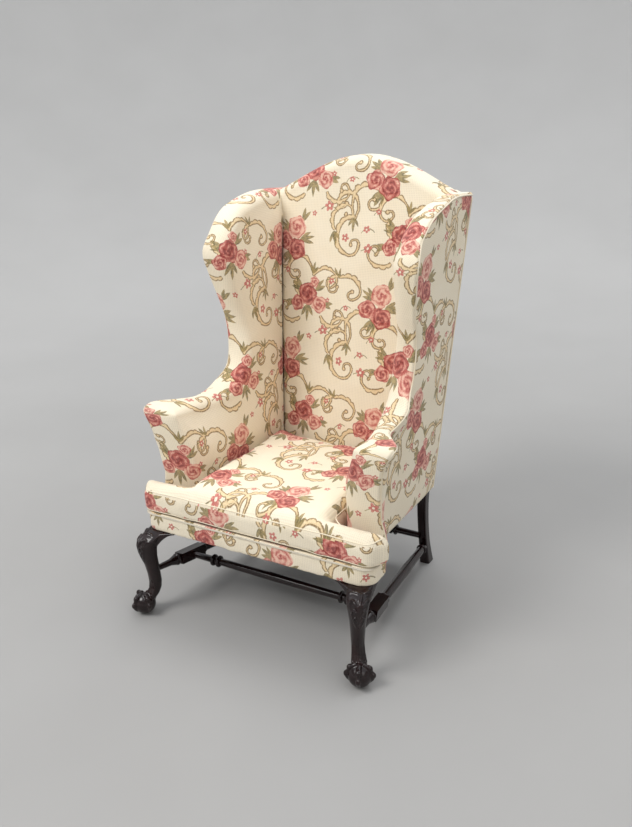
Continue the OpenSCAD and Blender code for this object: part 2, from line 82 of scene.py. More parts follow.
def side_at(w, z):
    return SIDE_X + (z - RAIL_BOTTOM) * math.tan(SIDE_LEAN) - w / math.cos(SIDE_LEAN)


def crest_at(x):
    bend = 0.5 + 0.5 * np.cos(math.pi * np.minimum(np.abs(x) / CREST_HALF, 1))
    return SHOULDER_Z + (CREST_Z - SHOULDER_Z) * bend ** 0.65


def smooth_line(points, step):
    """A Catmull-Rom curve through the points, resampled to even steps."""
    p = np.array(points, float)
    p = np.vstack([2 * p[0] - p[1], p, 2 * p[-1] - p[-2]])
    out = []
    for i in range(1, len(p) - 2):
        for t in np.arange(0, 1, 0.05):
            a, b, c, d = p[i - 1], p[i], p[i + 1], p[i + 2]
            out.append(0.5 * (2 * b + (c - a) * t + (2 * a - 5 * b + 4 * c - d) * t * t
                              + (3 * b - a - 3 * c + d) * t ** 3))
    out.append(p[-2])
    return resample(np.array(out), step)


def run_of(p):
    """Distance run along the points."""
    return np.concatenate([[0], np.cumsum(np.linalg.norm(np.diff(p, axis=0), axis=1))])


def resample(p, step):
    run = run_of(p)
    count = max(2, int(round(run[-1] / step)) + 1)
    at = np.linspace(0, run[-1], count)
    return np.stack([np.interp(at, run, p[:, k]) for k in range(p.shape[1])], axis=1)


def hand_name(stem, s):
    return stem + ("left" if s < 0 else "right")


def link(obj):
    bpy.context.scene.collection.objects.link(obj)
    return obj


def mesh_object(name, verts, faces, uvs=None, smooth=True):
    """A mesh object; uvs holds one (u, v) in metres of cloth for each vertex."""
    mesh = bpy.data.meshes.new(name)
    mesh.from_pydata([tuple(map(float, v)) for v in verts], [], [tuple(f) for f in faces])
    if uvs is not None:
        layer = mesh.uv_layers.new(name="cloth")
        index = np.zeros(len(mesh.loops), np.int32)
        mesh.loops.foreach_get("vertex_index", index)
        layer.data.foreach_set("uv", np.asarray(uvs, np.float32)[index].ravel())
    if smooth:
        mesh.polygons.foreach_set("use_smooth", np.ones(len(mesh.polygons), bool))
    mesh.update()
    return link(bpy.data.objects.new(name, mesh))


def grid_faces(ni, nj, flip=False, wrap=False):
    faces = []
    for i in range(ni - 1):
        for j in range(nj if wrap else nj - 1):
            k = (j + 1) % nj
            f = (i * nj + j, (i + 1) * nj + j, (i + 1) * nj + k, i * nj + k)
            faces.append(f[::-1] if flip else f)
    return faces


def grid_object(name, points, uvs, flip=False):
    ni, nj = points.shape[:2]
    return mesh_object(name, points.reshape(-1, 3), grid_faces(ni, nj, flip), uvs.reshape(-1, 2))


def cloth_grid(name, rows, cloth_at, flip=False):
    """A grid whose rows hold (x, y, z, u, v); cloth_at turns u and v into a place on the cloth."""
    g = np.array(rows)
    uv = np.stack(cloth_at(g[:, :, 3], g[:, :, 4]), axis=2)
    return grid_object(name, g[:, :, :3], uv, flip)


def lofted(name, rings, flip=False, uvs=None, smooth=True):
    """Rings of points skinned into one solid, closed at both ends."""
    ni, nj = len(rings), len(rings[0])
    faces = grid_faces(ni, nj, flip, wrap=True)
    faces += [tuple(range(nj)), tuple(range(ni * nj - 1, (ni - 1) * nj - 1, -1))]
    return mesh_object(name, [p for ring in rings for p in ring], faces, uvs, smooth)


def squared(angle, power):
    """Cosine and sine of a rounded square instead of a circle."""
    return [math.copysign(abs(c) ** power, c) for c in (math.cos(angle), math.sin(angle))]


def outward_faces(obj, triangles=False):
    bm = bmesh.new()
    bm.from_mesh(obj.data)
    if triangles:
        bmesh.ops.triangulate(bm, faces=bm.faces)
    bmesh.ops.recalc_face_normals(bm, faces=bm.faces)
    bm.to_mesh(obj.data)
    bm.free()


def tube(name, points, radius, sides=8, closed=False, scale=None):
    """A round cord along the points, for welts and carving; scale varies its radius."""
    p = np.array(points, float)
    n = len(p)
    t = np.roll(p, -1, 0) - np.roll(p, 1, 0) if closed else np.gradient(p, axis=0)
    t /= np.linalg.norm(t, axis=1)[:, None] + 1e-12
    up = np.array([0.0, 0.0, 1.0])
    if abs(t[0] @ up) > 0.9:
        up = np.array([0.0, 1.0, 0.0])
    a = np.cross(t[0], up)
    a /= np.linalg.norm(a)
    rings, uvs = [], []
    run = run_of(p)
    for i in range(n):
        a = a - (a @ t[i]) * t[i]
        a /= np.linalg.norm(a) + 1e-12
        b = np.cross(t[i], a)
        r = radius if scale is None else radius * scale[i]
        turns = [2 * math.pi * k / sides for k in range(sides)]
        rings.append([p[i] + r * (math.cos(w) * a + math.sin(w) * b) for w in turns])
        uvs += [(run[i], radius * w) for w in turns]
    if not closed:
        return lofted(name, rings, True, uvs)
    faces = grid_faces(n, sides, flip=True, wrap=True)
    last = (n - 1) * sides
    faces += [(k, (k + 1) % sides, last + (k + 1) % sides, last + k) for k in range(sides)]
    return mesh_object(name, [q for ring in rings for q in ring], faces, uvs)


def join(name, objects):
    for o in bpy.context.selected_objects:
        o.select_set(False)
    for o in objects:
        o.select_set(True)
    bpy.context.view_layer.objects.active = objects[0]
    bpy.ops.object.join()
    objects[0].name = name
    objects[0].data.name = name
    return objects[0]


def wobble(p, size, amount, seed=0.0):
    """Small seeded unevenness, in metres."""
    return amount * noise.noise(Vector((p[0] / size + seed, p[1] / size, p[2] / size)))


# ---------------------------------------------------------------- sides: wing, arm and front facing
EDGE = smooth_line(np.array(WING_EDGE) / 1000, 0.006)
FLARE_START, FLARE_RUN = -0.112, 0.126
WELT_R = 0.0024
TUCK = 0.012


def arm_top(y):
    """How near a depth y is to the arm, from 0 on the wing to 1 on the arm."""
    return ease((0.03 - y) / 0.06)


def outer_x(y, z):
    flare = np.interp(z, [0.291, 0.377, 0.45, 0.574], [0.079, 0.056, 0.057, 0.066])
    roll = 0.016 * ease((z - 0.505) / 0.07) * arm_top(y) * (1 - ease((y - 0.0) / 0.1))
    wing_top = 0.006 * ease((z - 0.90) / 0.15) * (1 - ease((y - 0.14) / 0.16))
    drawn_in = 0.004 * ease((y - 0.15) / 0.15)
    return (0.266 + 0.0559 * (z - 0.244) + flare * ease((FLARE_START - y) / FLARE_RUN) + roll
            + wing_top - drawn_in)


def inner_x(y, z):
    open_out = ease((0.030 - y) / 0.230) * (0.013 + 0.030 * ease((z - 0.44) / 0.14))
    thick_bend = 0.009 * np.exp(-((z - 0.665) / 0.06) ** 2) * ease((0.16 - y) / 0.10)
    return 0.206 + 0.0559 * (z - 0.244) + open_out - thick_bend


def outward_normals():
    """Unit normals of the front edge, pointing forward and up, away from the padded side."""
    t = np.gradient(EDGE, axis=0)
    t /= np.linalg.norm(t, axis=1)[:, None]
    n = np.stack([t[:, 1], -t[:, 0]], axis=1)
    inside = np.array([0.12, 0.55])
    return -n if np.mean(np.sum((EDGE - inside) * n, axis=1)) < 0 else n


def edge_inset():
    """How far the roll's rounding starts behind the edge, on the inner face."""
    y, z = EDGE[:, 0], EDGE[:, 1]
    return 0.030 - 0.010 * np.exp(-((y + 0.255) / 0.03) ** 2 - ((z - 0.56) / 0.045) ** 2)


def row_ends(rear, top, low, along_bottom):
    """Where each row of a side's cover ends: down the line of the back, then along the bottom."""
    up, fwd = run_of(EDGE[:CORNER + 1]), run_of(EDGE[CORNER:])
    heights = top + (low - top) * (up / up[-1])
    return np.array([(back_y(rear, z), z) for z in heights[:-1]] + [along_bottom(d) for d in fwd / fwd[-1]])


# the point of the edge where the wing meets the arm
CORNER = int(np.argmin(np.linalg.norm(EDGE - np.array([0.004, 0.603]), axis=1)))
SIDE_LOW, ARM_TIP_Y = 0.2975, -0.200
EDGE_CORNER_R = 0.007
ROUND_STEPS, FLAT_STEPS, WELT_STEPS = 12, 4, 5


def side_inside(s):
    """One cloth-covered side: inner face, roll over the front edge and the arm's front."""
    normal, inset = outward_normals(), edge_inset()
    hollow = EDGE - normal * inset[:, None]
    rear = back_y(TUCK, SIDE_LOW)
    base = row_ends(TUCK, 1.045, SIDE_LOW, lambda share: (rear + (ARM_TIP_Y - rear) * share, SIDE_LOW))
    rows, fill_n = [], 26
    for i in range(len(EDGE)):
        y, z = EDGE[i]
        row = []
        for j in range(fill_n):
            t = j / fill_n
            q = base[i] + (hollow[i] - base[i]) * t
            length = np.linalg.norm(hollow[i] - base[i])
            swell = 0.008 * math.sin(math.pi * min(1, t * 1.02)) ** 1.3 * min(1, length / 0.15)
            swell *= 0.25 + 0.75 * float(ease((q[1] - 0.36) / 0.08))
            x = inner_x(*q) - swell
            if i <= CORNER:
                x += 0.011 * math.exp(-t * length / 0.012)
            row.append((x, q[0], q[1], q[0], q[1]))
        xo = float(outer_x(y, z))
        xi = float(inner_x(*hollow[i]))
        wide = 0.60 * (xo - xi)
        arc, last = 0.0, (xi, 0.0)
        for j in range(ROUND_STEPS + 1):
            a = 0.5 * math.pi * j / ROUND_STEPS
            out = inset[i] * math.sin(a)
            x = xi + wide * (1 - math.cos(a))
            q = hollow[i] + normal[i] * out
            arc += math.hypot(x - last[0], out - last[1])
            last = (x, out)
            uv = hollow[i] + normal[i] * arc
            row.append((x, q[0], q[1], uv[0], uv[1]))
        for j in range(1, FLAT_STEPS + 1):
            x = xi + wide + (xo - EDGE_CORNER_R - xi - wide) * j / FLAT_STEPS
            arc += x - last[0]
            last = (x, inset[i])
            uv = hollow[i] + normal[i] * arc
            row.append((x, y, z, uv[0], uv[1]))
        for j in range(1, WELT_STEPS + 1):
            a = 0.5 * math.pi * j / WELT_STEPS
            out = inset[i] - EDGE_CORNER_R * (1 - math.cos(a))
            x = xo - EDGE_CORNER_R + EDGE_CORNER_R * math.sin(a)
            q = hollow[i] + normal[i] * out
            arc += EDGE_CORNER_R * 0.5 * math.pi / WELT_STEPS
            uv = hollow[i] + normal[i] * arc
            row.append((x, q[0], q[1], uv[0], uv[1]))
        rows.append(row)
    g = np.array(rows)
    g[:, :, 0] += np.array([[wobble((p[1], p[2], 3.1 * s), 0.09, 0.0016) for p in row] for row in g])
    g[:, :, 0] *= s
    across, up = (0.13, 0.02) if s < 0 else (0.47, 0.11)
    return cloth_grid(hand_name("wing_arm_inside_", s), g, lambda u, v: (across - s * u, up + v), s < 0)


def seam_line():
    """The outer welt, (x, y, z) for the right-hand side."""
    q = EDGE - outward_normals() * EDGE_CORNER_R
    return np.stack([[float(outer_x(*p)) for p in EDGE], q[:, 0], q[:, 1]], axis=1)


def outside_panel(s):
    """The cloth outside one wing and arm, stepping up in front to clear the sweep of the rail."""
    line = seam_line()
    rear, step_y, front_y, step = BACK_TOTAL - 0.002, SWEEP_START + 0.004, -0.232, RAIL_TOP - RAIL_BOTTOM
    rear_y = back_y(rear, RAIL_BOTTOM)

    def along_bottom(share):
        d = (rear_y - front_y + step) * share
        if d < rear_y - step_y:
            return rear_y - d, RAIL_BOTTOM
        if d < rear_y - step_y + step:
            return step_y, RAIL_BOTTOM + d - (rear_y - step_y)
        return rear_y + step - d, RAIL_TOP - 0.0005
    base = row_ends(rear, 1.062, RAIL_BOTTOM, along_bottom)
    rows, n = [], 40
    for i in range(len(line)):
        row = []
        for j in range(n + 1):
            t = j / n
            q = line[i, 1:] + (base[i] - line[i, 1:]) * t
            x = float(outer_x(*q)) if j else line[i, 0]
            edge = min(t, 1 - t) * np.linalg.norm(base[i] - line[i, 1:])
            x += 0.0020 * (1 - math.exp(-edge / 0.02)) - 0.0025 * math.exp(-edge / 0.004)
            x += wobble((q[0], q[1], 7.7 * s), 0.12, 0.0018)
            row.append((x * s, q[0], q[1], q[0], q[1]))
        rows.append(row)
    return cloth_grid(hand_name("outside_panel_", s), rows, lambda u, v: (u * s + 0.31, v + 0.05), s < 0)


def side_welt(s):
    return tube(hand_name("side_welt_", s), seam_line()[:-2] * (s, 1, 1), WELT_R)


# ---------------------------------------------------------------- back
def inside_back():
    """The front of the back, rolled over the arched crest to the seam along its rear edge."""
    nx, up_n = 91, 70
    front_r, rear_r, widen_by = 0.036, 0.009, 0.034
    foot = DECK_TOP + 0.003
    rows = []
    for i in range(nx):
        u = -1 + 2 * i / (nx - 1)
        row = []
        z_top = float(crest_at(u * (side_at(INNER_FACE, 1.05) + widen_by)))
        z_turn = z_top - front_r * 0.92
        for j in range(up_n + 1):
            t = j / up_n
            z = foot + (z_turn - foot) * t
            above = ease((z - 1.00) / 0.06)
            x = u * (side_at(INNER_FACE, z) + widen_by * above + TUCK * (1 - above))
            swell = 0.013 * (1 - abs(u) ** 2.6) * math.sin(math.pi * min(1, 0.12 + 0.82 * t)) ** 0.8
            tuck = 0.020 * math.exp(-(1 - abs(u)) / 0.050) * (1 - ease((z - 1.02) / 0.05))
            y = back_y(0, z) - swell + tuck
            y += wobble((x, z, 1.3), 0.10, 0.0018)
            row.append((x, y, z, x, z))
        x, y0, z0 = row[-1][:3]
        v, last = z0, (y0, z0)
        for j in range(1, 13):
            a = 0.5 * math.pi * j / 12
            y = y0 + front_r * (1 - math.cos(a))
            z = z0 + (z_top - z0) * math.sin(a)
            v += math.hypot(y - last[0], z - last[1])
            last = (y, z)
            row.append((x, y, z, x, v))
        y_flat_end = back_y(BACK_TOTAL, z_top) - rear_r
        for j in range(1, 6):
            y = y0 + front_r + (y_flat_end - y0 - front_r) * j / 5
            v += y - last[0]
            last = (y, z_top)
            row.append((x, y, z_top, x, v))
        for j in range(1, 6):
            a = 0.5 * math.pi * j / 5
            y = y_flat_end + rear_r * math.sin(a)
            z = z_top - rear_r * (1 - math.cos(a))
            v += rear_r * 0.5 * math.pi / 5
            row.append((x, y, z, x, v))
        rows.append(row)
    return cloth_grid("inside_back", rows, lambda u, v: (u, v), True)


LIP_MIDDLE = ((-0.006, -0.001), (-0.010, 0.0), (-0.014, 0.001), (-0.020, 0.001))
LIP_CORNER = ((-0.001, 0.006), (-0.003, 0.010), (-0.010, 0.0115), (-0.020, 0.010))


def outside_back():
    """The plain panel behind, with its top turned in under the crest."""
    nx, nz = 61, 60
    rows = []
    for i in range(nx):
        u = -1 + 2 * i / (nx - 1)
        row = []
        x_top = u * (side_at(0, SHOULDER_Z) - 0.003)
        z_top = float(crest_at(x_top)) - 0.008
        for j in range(nz + 1):
            t = j / nz
            z = RAIL_BOTTOM + (z_top - RAIL_BOTTOM) * t
            x = u * (side_at(0, z) - 0.005)
            edge = min((1 - abs(u)) * 0.3, (1 - t) * 0.9)
            y = back_y(BACK_TOTAL - 0.001, z) + 0.002 * (1 - math.exp(-edge / 0.03))
            y += wobble((x, z, 9.2), 0.13, 0.0016)
            row.append((x, y, z, x, z))
        # the lip stands higher at its ends, where it closes the gap beside the top of the wing
        x, y, z = row[-1][:3]
        corner = ease((abs(u) - 0.78) / 0.08)
        for (y_in, z_in), (y_out, z_out) in zip(LIP_MIDDLE, LIP_CORNER):
            row.append((x, y + y_in + (y_out - y_in) * corner, z + z_in + (z_out - z_in) * corner, x,
                        z + 0.004))
        rows.append(row)
    return cloth_grid("outside_back_panel", rows, lambda u, v: (0.21 - u, v + 0.07))


def back_welt():
    """Up one rear edge, over the crest and down the other."""
    half = side_at(0, SHOULDER_Z) - 0.003
    over = [(x, float(crest_at(x)) - 0.008) for x in np.linspace(-half, half, 121)]
    end_z = over[-1][1]
    down = [(side_at(0, z) - 0.004, z) for z in np.linspace(end_z, RAIL_BOTTOM + 0.002, 90)[1:]]
    whole = [(-x, z) for x, z in down[::-1]] + over + down
    line = np.array([(x, back_y(BACK_TOTAL, z), z) for x, z in whole])
    return tube("back_welt", resample(line, 0.008), WELT_R)


# ---------------------------------------------------------------- rail band
def seat_front_line(grow):
    """Plan of the seat frame's front from its right side round to its left side."""
    half = [(SEAT_HALF + EAR_SWEEP * float(ease(t)) + grow, SWEEP_START + (SWEEP_END - SWEEP_START) * t)
            for t in np.linspace(0, 1, 25)]
    r = CORNER_R + grow
    for a in np.linspace(0, -0.5 * math.pi, 13)[1:]:
        half.append((EAR_HALF - CORNER_R + r * math.cos(a), CORNER_R - FRONT_FACE + r * math.sin(a)))
    return half + [(-x, y) for x, y in half[::-1]]


def rail_band():
    """The cloth band round the seat rail, with a slightly uneven hem."""
    plan = resample(np.array(seat_front_line(0.0030)), 0.005)
    run = run_of(plan)
    t = np.gradient(plan, axis=0)
    t /= np.linalg.norm(t, axis=1)[:, None]
    out = np.stack([-t[:, 1], t[:, 0]], axis=1)
    if out[len(out) // 2][1] > 0:
        out = -out
    rows, nz = [], 12
    mid = run[-1] / 2
    for i in range(len(plan)):
        row = []
        hem = 0.0022 * noise.noise(Vector((run[i] / 0.035, 5.0, 0.0)))
        hem += 0.0012 * noise.noise(Vector((run[i] / 0.012, 8.0, 0.0)))
        low = RAIL_BOTTOM + 0.001 + hem
        top = RAIL_TOP + 0.0025
        profile = [(-0.006, low + 0.001), (-0.001, low - 0.0005)]
        profile += [(0.0012 * math.sin(math.pi * k / nz), low + (top - low) * k / nz) for k in range(nz + 1)]
        profile += [(-0.004, top + 0.0005), (-0.010, top - 0.001)]
        for off, z in profile:
            q = plan[i] + out[i] * (off + 0.0008 * noise.noise(Vector((run[i] / 0.03, z / 0.02, 2.0))))
            row.append((q[0], q[1], z, -(run[i] - mid), z))
        rows.append(row)
    return cloth_grid("rail_band", rows, lambda u, v: (u, v + 0.19), True)


# ---------------------------------------------------------------- cushion
TEE_CENTRE = np.array([0.0, -0.285])


def tee_outline(shrink, ear_back=-0.256):
    """Plan of the cushion, shrunk all round, from its right rear corner round the front."""
    half = side_at(INNER_FACE, DECK_TOP) - 0.0003 - shrink
    back = back_y(0, DECK_TOP) - 0.001 - shrink
    wide, ear_r, front_r = EAR_HALF + 0.009, 0.014, CORNER_R
    rear = ear_back - shrink
    pts = [(half - 0.02, back), (half - 0.006, back - 0.006), (half, back - 0.02)]
    pts += [(half, y) for y in np.linspace(back - 0.05, rear + 0.01, 12)] + [(half + 0.004, rear + 0.002)]
    r = ear_r - 0.4 * shrink
    pts += [(x, rear) for x in np.linspace(half + 0.015, wide - shrink - r - 0.01, 5)]
    for i in range(5):
        a = 0.5 * math.pi * (1 - i / 4)
        pts.append((wide - shrink - r + r * math.cos(a), rear - r + r * math.sin(a)))
    r = front_r - shrink
    for i in range(9):
        a = -0.5 * math.pi * i / 8
        pts.append((wide - front_r + r * math.cos(a), front_r - FRONT_FACE - 0.007 + r * math.sin(a)))
    whole = pts + [(-x, y) for x, y in pts[::-1]]
    line = resample(np.array(whole + [whole[0]]), 0.006)
    return line[:-1]


def tee_rings(outline, shares, heights):
    """Rings of the outline drawn in towards its middle, each at its own height."""
    return [[(TEE_CENTRE[0] + (p[0] - TEE_CENTRE[0]) * k, TEE_CENTRE[1] + (p[1] - TEE_CENTRE[1]) * k, z)
             for p in outline] for k, z in zip(shares, heights)]


def edge_distance(points, outline):
    """Distance in plan from each point to the outline."""
    a, b = outline, np.roll(outline, -1, 0)
    best = np.full(len(points), 9.0)
    for p, q in zip(a, b):
        d = q - p
        t = np.clip(((points - p) @ d) / (d @ d), 0, 1)
        best = np.minimum(best, np.linalg.norm(points - p - t[:, None] * d, axis=1))
    return best


def cushion_start():
    """The cushion before it swells: a boxed T with its top already drawn up into a crown."""
    outline = tee_outline(0.006)
    low, seam = CUSHION_LOW + 0.003, CUSHION_LOW + CUSHION_BOXING - 0.002
    n = len(outline)
    verts = [(x, y, low) for x, y in outline] + [(x, y, seam) for x, y in outline]
    faces = [(k, (k + 1) % n, n + (k + 1) % n, n + k) for k in range(n)]
    faces += [tuple(range(n))[::-1], tuple(range(n, 2 * n))]
    body = mesh_object("seat_cushion", verts, faces)
    outward_faces(body, triangles=True)
    voxel(body, 0.0065)
    co = coords(body)
    reach = edge_distance(co[:, :2], outline)
    upper = ease((co[:, 2] - low) / (seam - low))
    co[:, 2] += upper * 0.027 * (1 - np.exp(-reach / 0.014))
    put_coords(body, co)
    return body


def apply_modifiers(obj):
    deps = bpy.context.evaluated_depsgraph_get()
    mesh = bpy.data.meshes.new_from_object(obj.evaluated_get(deps))
    obj.modifiers.clear()
    old = obj.data
    obj.data = mesh
    bpy.data.meshes.remove(old)
    return obj


def voxel(obj, size, smooth_steps=0, factor=0.5):
    m = obj.modifiers.new("remesh", "REMESH")
    m.mode = "VOXEL"
    m.voxel_size = size
    m.use_smooth_shade = True
    if smooth_steps:
        s = obj.modifiers.new("smooth", "SMOOTH")
        s.iterations = smooth_steps
        s.factor = factor
    return apply_modifiers(obj)


def coords(obj):
    co = np.zeros(len(obj.data.vertices) * 3)
    obj.data.vertices.foreach_get("co", co)
    return co.reshape(-1, 3)


def put_coords(obj, co):
    obj.data.vertices.foreach_set("co", co.ravel())
    obj.data.update()


def inflate(obj, pressure, cap, frames=20):
    """Lets the cover swell under pressure, then holds each point within a cap of its start."""
    start = coords(obj)
    cloth = obj.modifiers.new("cloth", "CLOTH")
    c = cloth.settings
    c.quality = 5
    c.mass = 0.4
    c.tension_stiffness = c.compression_stiffness = 18
    c.shear_stiffness = 8
    c.bending_stiffness = 1.2
    c.use_pressure = True
    c.uniform_pressure_force = pressure
    c.effector_weights.gravity = 0
    cloth.collision_settings.use_collision = False
    cloth.point_cache.frame_start = 1
    cloth.point_cache.frame_end = frames
    scene = bpy.context.scene
    for f in range(1, frames + 1):
        scene.frame_set(f)
    apply_modifiers(obj)
    scene.frame_set(1)
    moved = coords(obj) - start
    length = np.linalg.norm(moved, axis=1)
    scale = np.where(length > cap, cap / np.maximum(length, 1e-9), 1.0)
    put_coords(obj, start + moved * scale[:, None])
    return obj


def fit_plan(body):
    """Eases the swollen cushion back out to the plan it was cut to."""
    co = coords(body)
    cut = tee_outline(0.0)
    in_ears = 1 - ease((co[:, 1] + 0.285) / 0.025)
    ears = cut[:, 0].max() / np.abs(co[co[:, 1] < -0.285][:, 0]).max()
    trunk = np.abs(cut[cut[:, 1] > -0.2][:, 0]).max() / np.abs(co[co[:, 1] > -0.2][:, 0]).max()
    co[:, 0] *= trunk * 1.03 + (ears - trunk * 1.03) * in_ears
    front = co[:, 1] < 0
    co[front, 1] *= cut[:, 1].min() / co[:, 1].min()
    put_coords(body, co)


def seat_cushion():
    body = cushion_start()
    inflate(body, 4.0, 0.012)
    fit_plan(body)
    co = coords(body)
    seam = CUSHION_LOW + CUSHION_BOXING
    co[:, 2] = np.maximum(co[:, 2], CUSHION_LOW + 0.0008)
    # the top settles a little where a sitter would be, and stands a little higher beside the arms
    dip = np.exp(-((co[:, 0] / 0.15) ** 2 + ((co[:, 1] + 0.03) / 0.15) ** 2))
    top = ease((co[:, 2] - seam) / 0.012)
    half = side_at(INNER_FACE, DECK_TOP)
    beside_arm = ease((np.abs(co[:, 0]) - half + 0.075) / 0.06) * ease((co[:, 1] + 0.29) / 0.05)
    co[:, 2] += ease((co[:, 2] - seam + 0.012) / 0.02) * 0.013 * beside_arm - top * 0.003 * dip
    waves = np.array([noise.noise(Vector((p[0] / 0.11, p[1] / 0.11, 4.0))) for p in co])
    fine = np.array([noise.noise(Vector((p[0] / 0.045, p[1] / 0.045, 9.0))) for p in co])
    co[:, 2] += top * (0.0026 * waves + 0.0007 * fine)
    co[:, 2] = np.minimum(co[:, 2], CUSHION_LOW + CUSHION_BOXING + CUSHION_CROWN + 0.007)
    put_coords(body, co)
    s = body.modifiers.new("smooth", "SMOOTH")
    s.iterations, s.factor = 7, 0.5
    d = body.modifiers.new("detail", "SUBSURF")
    d.levels = d.render_levels = 1
    apply_modifiers(body)
    body.name = "seat_cushion"
    planar_and_band_uvs(body, tee_outline(0.0))
    return body


def planar_and_band_uvs(obj, outline):
    """Top and bottom cut flat from the cloth; the boxing is a band run round the edge."""
    mesh = obj.data
    mesh.polygons.foreach_set("use_smooth", np.ones(len(mesh.polygons), bool))
    run = run_of(np.vstack([outline, outline[:1]]))
    middle, seam = run[-1] / 2, CUSHION_LOW + CUSHION_BOXING - 0.002
    co = coords(obj)
    uv = np.zeros((len(mesh.loops), 2))
    for poly in mesh.polygons:
        loops, p = list(poly.loop_indices), co[list(poly.vertices)]
        up, centre = poly.normal.z, poly.center
        if up > 0.80 or (up > 0.25 and centre.z > seam):
            uv[loops] = p[:, :2] + (0.02, 0.30)
        elif up < -0.6:
            uv[loops] = p[:, :2] + (0.0, 0.4)
        else:
            base = int(np.argmin(np.sum((outline - np.array(centre[:2])) ** 2, axis=1)))
            t = outline[(base + 1) % len(outline)] - outline[base - 1]
            t /= np.linalg.norm(t)
            uv[loops, 0] = middle - run[base] - (p[:, :2] - outline[base]) @ t
            uv[loops, 1] = p[:, 2] + 0.115
    mesh.uv_layers.new(name="cloth").data.foreach_set("uv", uv.ravel())


def cushion_welts(body):
    """Sewn seams at the top and bottom of the boxing, laid on the finished cushion."""
    mesh = body.data
    tree = BVHTree.FromPolygons([v.co for v in mesh.vertices], [p.vertices[:] for p in mesh.polygons])
    made = []
    wide = tee_outline(-0.012)
    for tag, z in (("top", CUSHION_LOW + CUSHION_BOXING + 0.016), ("bottom", CUSHION_LOW - 0.009)):
        path = np.array([tree.find_nearest(Vector((p[0], p[1], z)))[0] for p in wide])
        for _ in range(4):
            path = (np.roll(path, 1, 0) + 2 * path + np.roll(path, -1, 0)) / 4
        made.append(tube("cushion_seam_" + tag, path, 0.0016, 6, closed=True))
    return made


def seat_deck():
    outline = tee_outline(0.001)
    shares = [1.0, 0.99, 0.97, 0.93, 0.86, 0.75, 0.6, 0.4, 0.2, 0.0]
    heights = [DECK_TOP - 0.0035, DECK_TOP - 0.0012] + [DECK_TOP - 0.0002] * 8
    rings = tee_rings(outline, shares, heights)
    verts = np.array([p for ring in rings for p in ring])
    for v in verts:
        v[2] += wobble(v, 0.08, 0.0009) - 0.0009
    return mesh_object("seat_deck", verts, grid_faces(len(rings), len(outline), wrap=True), verts[:, :2])


# ---------------------------------------------------------------- carved front legs
LEG_LINE = [  # height, x, y, radius across, radius towards the corner
    (0.2440, 0.3080, -0.2980, 0.0300, 0.0300),
    (0.2400, 0.3110, -0.3080, 0.0305, 0.0310),
    (0.2330, 0.3160, -0.3230, 0.0300, 0.0300),
    (0.2230, 0.3200, -0.3380, 0.0282, 0.0275),
    (0.2080, 0.3220, -0.3445, 0.0262, 0.0262),
    (0.1900, 0.3218, -0.3450, 0.0236, 0.0240),
    (0.1680, 0.3205, -0.3435, 0.0208, 0.0214),
    (0.1400, 0.3182, -0.3400, 0.0188, 0.0194),
    (0.1150, 0.3165, -0.3375, 0.0176, 0.0180),
    (0.0920, 0.3152, -0.3355, 0.0166, 0.0172),
    (0.0720, 0.3165, -0.3370, 0.0164, 0.0170),
    (0.0560, 0.3215, -0.3440, 0.0176, 0.0180),
    (0.0460, 0.3280, -0.3530, 0.0200, 0.0200)]
CORNER_DIR = math.radians(-56)
FOOT = Vector((0.336, -0.366, 0.0300))
BALL_R = 0.0300


def leg_at(z):
    table_ = np.array(LEG_LINE)[::-1]
    return [float(np.interp(z, table_[:, 0], table_[:, k])) for k in (1, 2, 3, 4)]


def leg_surface(angle, z, lift=0.0):
    """Point on the leg's skin; angle 0 faces the chair's front corner."""
    x, y, across, toward = leg_at(z)
    r = across + (toward - across) * max(0.0, math.cos(angle)) ** 2
    r *= 1 + 0.05 * math.cos(4 * angle) * float(ease((z - 0.15) / 0.08))
    a = CORNER_DIR + angle
    return Vector((x + (r + lift) * math.cos(a), y + (r + lift) * math.sin(a), z))


